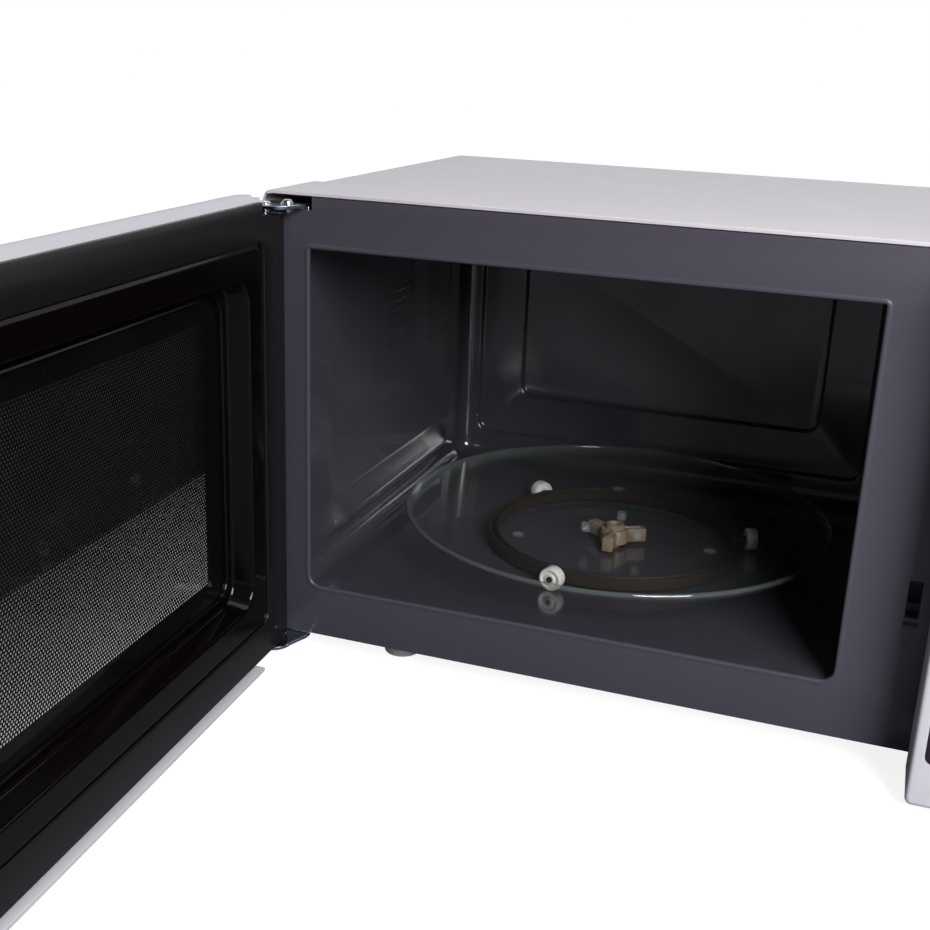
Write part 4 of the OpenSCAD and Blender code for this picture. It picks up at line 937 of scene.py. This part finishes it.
def panel():
    y0, y1 = DOOR_OUT, -149.0
    shell = [(2.4, y0), (1.5, y0 + 0.12), (0.75, y0 + 0.5), (0.2, y0 + 1.2), (0, y0 + 2.2), (0, y0 + 7.6),
             (0.35, y0 + 7.9), (0.35, y0 + 8.5), (0, y0 + 8.8), (0, y1 - 0.4), (0.4, y1), (1.8, y1),
             (2.2, y1 - 0.4), (2.2, y0 + 3.2), (2.6, y0 + 3.0)]
    loops = [upright(loop(*inset(PANEL, d), max(0.6, 3.2 - 0.5 * d), 6), y) for d, y in shell]
    obj = mesh_object("panel_housing_look", *skin(loops), "white_plastic", sharp=40)
    carve(obj, soft_plate(inset(FASCIA, -0.2), y0 - 1, y0 + 1.6, 4.2, 0.05), sharp=40)
    holes = [soft_plate(around(x, z, 12.5, 5), y0 - 1, y0 + 5, 2.5, 0.05) for x in BUTTON_XS
             for z in BUTTON_ZS]
    holes += [rod(4.5, y0 - 1, y0 + 5, (PANEL_CX, 0, KNOB_Z), "y"),
              soft_plate(inset(OPEN_BUTTON, -0.5), y0 - 1, y0 + 5, 4.5, 0.05),
              soft_plate(around(PANEL_CX, DISPLAY_Z, 30, 13), y0 - 1, y0 + 5, 2, 0.05)]
    carve(obj, merge(*holes), sharp=40)
    stands_for(obj, "panel_housing")
    face = mesh_object("panel_fascia_look", *soft_plate(FASCIA, y0, y0 + 1.5, 4, 0.25), "fascia_gloss",
                       sharp=40)
    carve(face, merge(*holes), sharp=40)
    stands_for(face, "panel_fascia")
    window = soft_plate(around(PANEL_CX, DISPLAY_Z, 29.8, 12.8), y0 + 0.3, y0 + 2.5, 1.8, 0.3)
    piece("display_window", window, "display_dark", sharp=40)
    # Unlit seven-segment digits just under the display's face, and printed dial marks
    marks = []
    for x in (-19, -7.5, 7.5, 19):
        for dx, dz, w, h in ((0, 7, 5.4, 1.1), (0, 0, 5.4, 1.1), (0, -7, 5.4, 1.1), (-3.4, 3.5, 1.1, 5.4),
                             (3.4, 3.5, 1.1, 5.4), (-3.4, -3.5, 1.1, 5.4), (3.4, -3.5, 1.1, 5.4)):
            mark = around(PANEL_CX + x + dx, DISPLAY_Z + dz, w / 2, h / 2)
            marks.append(soft_plate(mark, y0 + 0.26, y0 + 0.6, 0.4, 0.02))
    for dz in (-3, 3):
        marks.append(soft_plate(around(PANEL_CX, DISPLAY_Z + dz, 0.6, 0.6), y0 + 0.26, y0 + 0.6, 0.5, 0.02))
    adds(mesh_object("display_segments", *merge(*marks), "grey_plastic"), "oven")
    ticks = []
    for k in range(25):
        a = math.radians(-135 + 270 * k / 24)
        length = 3.2 if k % 6 == 0 else 1.8
        s, c = math.sin(a), math.cos(a)
        corner = []
        for along, across in ((24.2, -0.25), (24.2 + length, -0.25), (24.2 + length, 0.25), (24.2, 0.25)):
            corner.append((PANEL_CX + along * s + across * c, KNOB_Z + along * c - across * s))
        ticks.append(skin([upright(corner, y) for y in (y0 - 0.03, y0 + 0.3)]))
    for x in BUTTON_XS:
        for z in BUTTON_ZS:
            ticks.append(soft_plate((x - 5, z + 6.6, x + 5, z + 7.1), y0 - 0.03, y0 + 0.3, 0.2, 0.01))
    adds(mesh_object("panel_marks", *merge(*ticks), "white_print"), "oven")
    for k in range(6):
        x, z = BUTTON_XS[k % 2], BUTTON_ZS[k // 2]
        cap = [upright(loop(*inset(around(x, z, 12, 4.5), d), max(0.4, 2 - 0.4 * d), 5), y)
               for d, y in ((3.4, y0 - 1.0), (1.6, y0 - 1.05), (1.1, y0 - 1.2), (0.6, y0 - 1.18),
                            (0.2, y0 - 0.95), (0, y0 - 0.5), (0, y0 + 3.8))]
        stem = lathe([(0, y0 + 3.6), (2, y0 + 3.6), (2, y0 + 10.3), (1.8, y0 + 10.5), (0, y0 + 10.5)],
                     (x, 0, z), "y", 24)
        flange = soft_plate(around(x, z, 13.2, 5.7), y0 + 3.5, y0 + 4.7, 2, 0.2)
        piece("button_%d" % (k + 1), merge(skin(cap), flange, stem), "key_silver", sharp=40)
    grips = 36
    profile = [(0, -14.2), (15.0, -14.2), (16.2, -14.4), (17.4, -15.0), (18.6, -15.0), (19.3, -14.7),
               (19.5, -14.0), (19.5, -6.6), (19.9, -6.2), (20.6, -6.0), (21.0, -5.6), (21.0, -1.4),
               (20.6, -1.0), (6, -1.0), (4, -1.0), (4, 4), (3, 4.2), (3, 9.0), (2.7, 9.2), (0, 9.2)]
    verts, faces = lathe([(r, y0 + h) for r, h in profile], (PANEL_CX, 0, KNOB_Z), "y", grips * 4)
    shaped = []
    for x, y, z in verts:
        dx, dz = x - PANEL_CX, z - KNOB_Z
        r = math.hypot(dx, dz)
        if r > 19.2 and y < y0 - 6.4:
            a = math.atan2(dz, dx)
            f = 1 - 0.02 * max(0.0, math.cos(grips * a))
            x, z = PANEL_CX + dx * f, KNOB_Z + dz * f
        shaped.append((x, y, z))
    pointer = soft_plate((PANEL_CX - 0.8, KNOB_Z + 8, PANEL_CX + 0.8, KNOB_Z + 17.5), y0 - 14.95, y0 - 13.9,
                         0.7, 0.2)
    piece("control_knob", (shaped, faces), "key_silver", sharp=40)
    adds(mesh_object("control_knob_pointer", *pointer, "black_plastic"), "knob")
    plate = [upright(loop(*inset(OPEN_BUTTON, d), max(0.6, 4 - 0.5 * d), 6), y)
             for d, y in ((6, y0 - 1.4), (3, y0 - 1.55), (1.6, y0 - 2.0), (0.8, y0 - 1.95),
                          (0.25, y0 - 1.6), (0, y0 - 1.0), (0, y0 + 8), (2, y0 + 8), (2.2, y0 + 1),
                          (12, y0 + 1))]
    stem = soft_box((162, y0, 68.5), (168, -146, 73.5), 0.5)
    piece("open_button", merge(skin(plate), stem), "white_plastic", sharp=40)


# ---------------------------------------------------------------- feet and parts shown as in the CAD

def feet():
    parts = []
    for x in (-151, 151):
        for y in (-118, 118):
            parts.append(lathe([(0, 0), (9.6, 0), (10.2, 0.3), (10.6, 0.9), (11.8, 11.2), (12, 11.8),
                                (12, 14.4), (11.6, 14.9), (2, 15), (2, 18.6), (1.6, 19), (0, 19)],
                               (x, y, 0), segments=48))
    piece("feet", merge(*parts), "foot_plastic", sharp=40)


def kept_nodes():
    """CAD meshes shown as they are get their finish, softened edges and smooth shading."""
    for name, obj in NODES.items():
        if name in REPLACED:
            continue
        obj.data.materials.clear()
        obj.data.materials.append(LOOKS[SLOT_OF[name]])
        obj.data.shade_smooth()
        weld = obj.modifiers.new("weld", "WELD")
        weld.merge_threshold = 0.000005
        bevel(obj, 0.25, 38.0, 2)


# ---------------------------------------------------------------- surroundings, lamps and camera

def floor_and_backdrop():
    """White for the camera alone; everything else sees a dim floor and a graded studio."""
    floor = bpy.data.meshes.new("floor")
    floor.from_pydata([(-6, -6, 0), (6, -6, 0), (6, 6, 0), (-6, 6, 0)], [], [(0, 1, 2, 3)])
    paper = look("paper", (0.40, 0.40, 0.40), 0.8, spread=0.01, grain=300, bump=0.02, specular=0.1)
    tree = paper.node_tree
    glow = tree.nodes["Principled BSDF"]
    glow.inputs["Emission Color"].default_value = (1, 1, 1, 1)
    glow.inputs["Emission Strength"].default_value = 0.86
    dim = make(tree, "ShaderNodeBsdfDiffuse", {"Color": (0.18, 0.18, 0.20, 1)})
    by_ray(tree, dim.outputs["BSDF"], glow.outputs["BSDF"], tree.nodes["Material Output"])
    floor.materials.append(paper)
    obj = linked("floor", floor)

    world = bpy.data.worlds.new("studio")
    bpy.context.scene.world = world
    world.use_nodes = True
    tree = world.node_tree
    tree.nodes.clear()
    coord = make(tree, "ShaderNodeTexCoord")
    split = make(tree, "ShaderNodeSeparateXYZ")
    fade = make(tree, "ShaderNodeMapRange", {"From Min": -0.45, "From Max": 0.45, "To Min": 0.08,
                                             "To Max": 0.62})
    light = make(tree, "ShaderNodeBackground", {"Color": (0.97, 0.97, 1.0, 1)})
    plain = make(tree, "ShaderNodeBackground", {"Color": (1, 1, 1, 1)})
    tree.links.new(coord.outputs["Generated"], split.inputs["Vector"])
    tree.links.new(split.outputs["Y"], fade.inputs["Value"])
    tree.links.new(fade.outputs["Result"], light.inputs["Strength"])
    end = make(tree, "ShaderNodeOutputWorld")
    by_ray(tree, light.outputs["Background"], plain.outputs["Background"], end)


def by_ray(tree, others, camera, end):
    """Ends a node tree with one shader for the camera's own rays and another for all the others."""
    path = make(tree, "ShaderNodeLightPath")
    mix = make(tree, "ShaderNodeMixShader")
    tree.links.new(path.outputs["Is Camera Ray"], mix.inputs["Fac"])
    tree.links.new(others, mix.inputs[1])
    tree.links.new(camera, mix.inputs[2])
    tree.links.new(mix.outputs["Shader"], end.inputs["Surface"])


def lamp(name, place, target, size, power, spread=180):
    light = bpy.data.lights.new(name, "AREA")
    light.shape = "RECTANGLE"
    light.size, light.size_y = size
    light.energy = power
    light.spread = math.radians(spread)
    obj = linked(name, light)
    obj.location = place
    obj.rotation_euler = (Vector(target) - Vector(place)).to_track_quat("-Z", "Y").to_euler()


def camera():
    view = bpy.data.cameras.new("camera")
    view.lens = 48.76
    view.sensor_width = 36
    view.clip_start = 0.01
    cam = linked("camera", view)
    cam.location = (0.10262, -0.75554, 0.34735)
    cam.rotation_euler = [math.radians(a) for a in (71.540, -2.141, 19.625)]
    bpy.context.scene.camera = cam
    bpy.context.scene.view_settings.view_transform = "Standard"


front_plate()
cavity()
outer_cover()
door_frame()
door_choke_cover()
door_mesh()
door_small_parts()
hinges()
turntable()
panel()
feet()
kept_nodes()
floor_and_backdrop()
lamp("key", (0.80, -1.05, 0.80), (0.40, -0.15, 0.13), (0.7, 0.7), 15, spread=125)
lamp("top", (0.0, 0.3, 1.8), (0.0, 0.0, 0.2), (1.8, 1.4), 10)
camera()
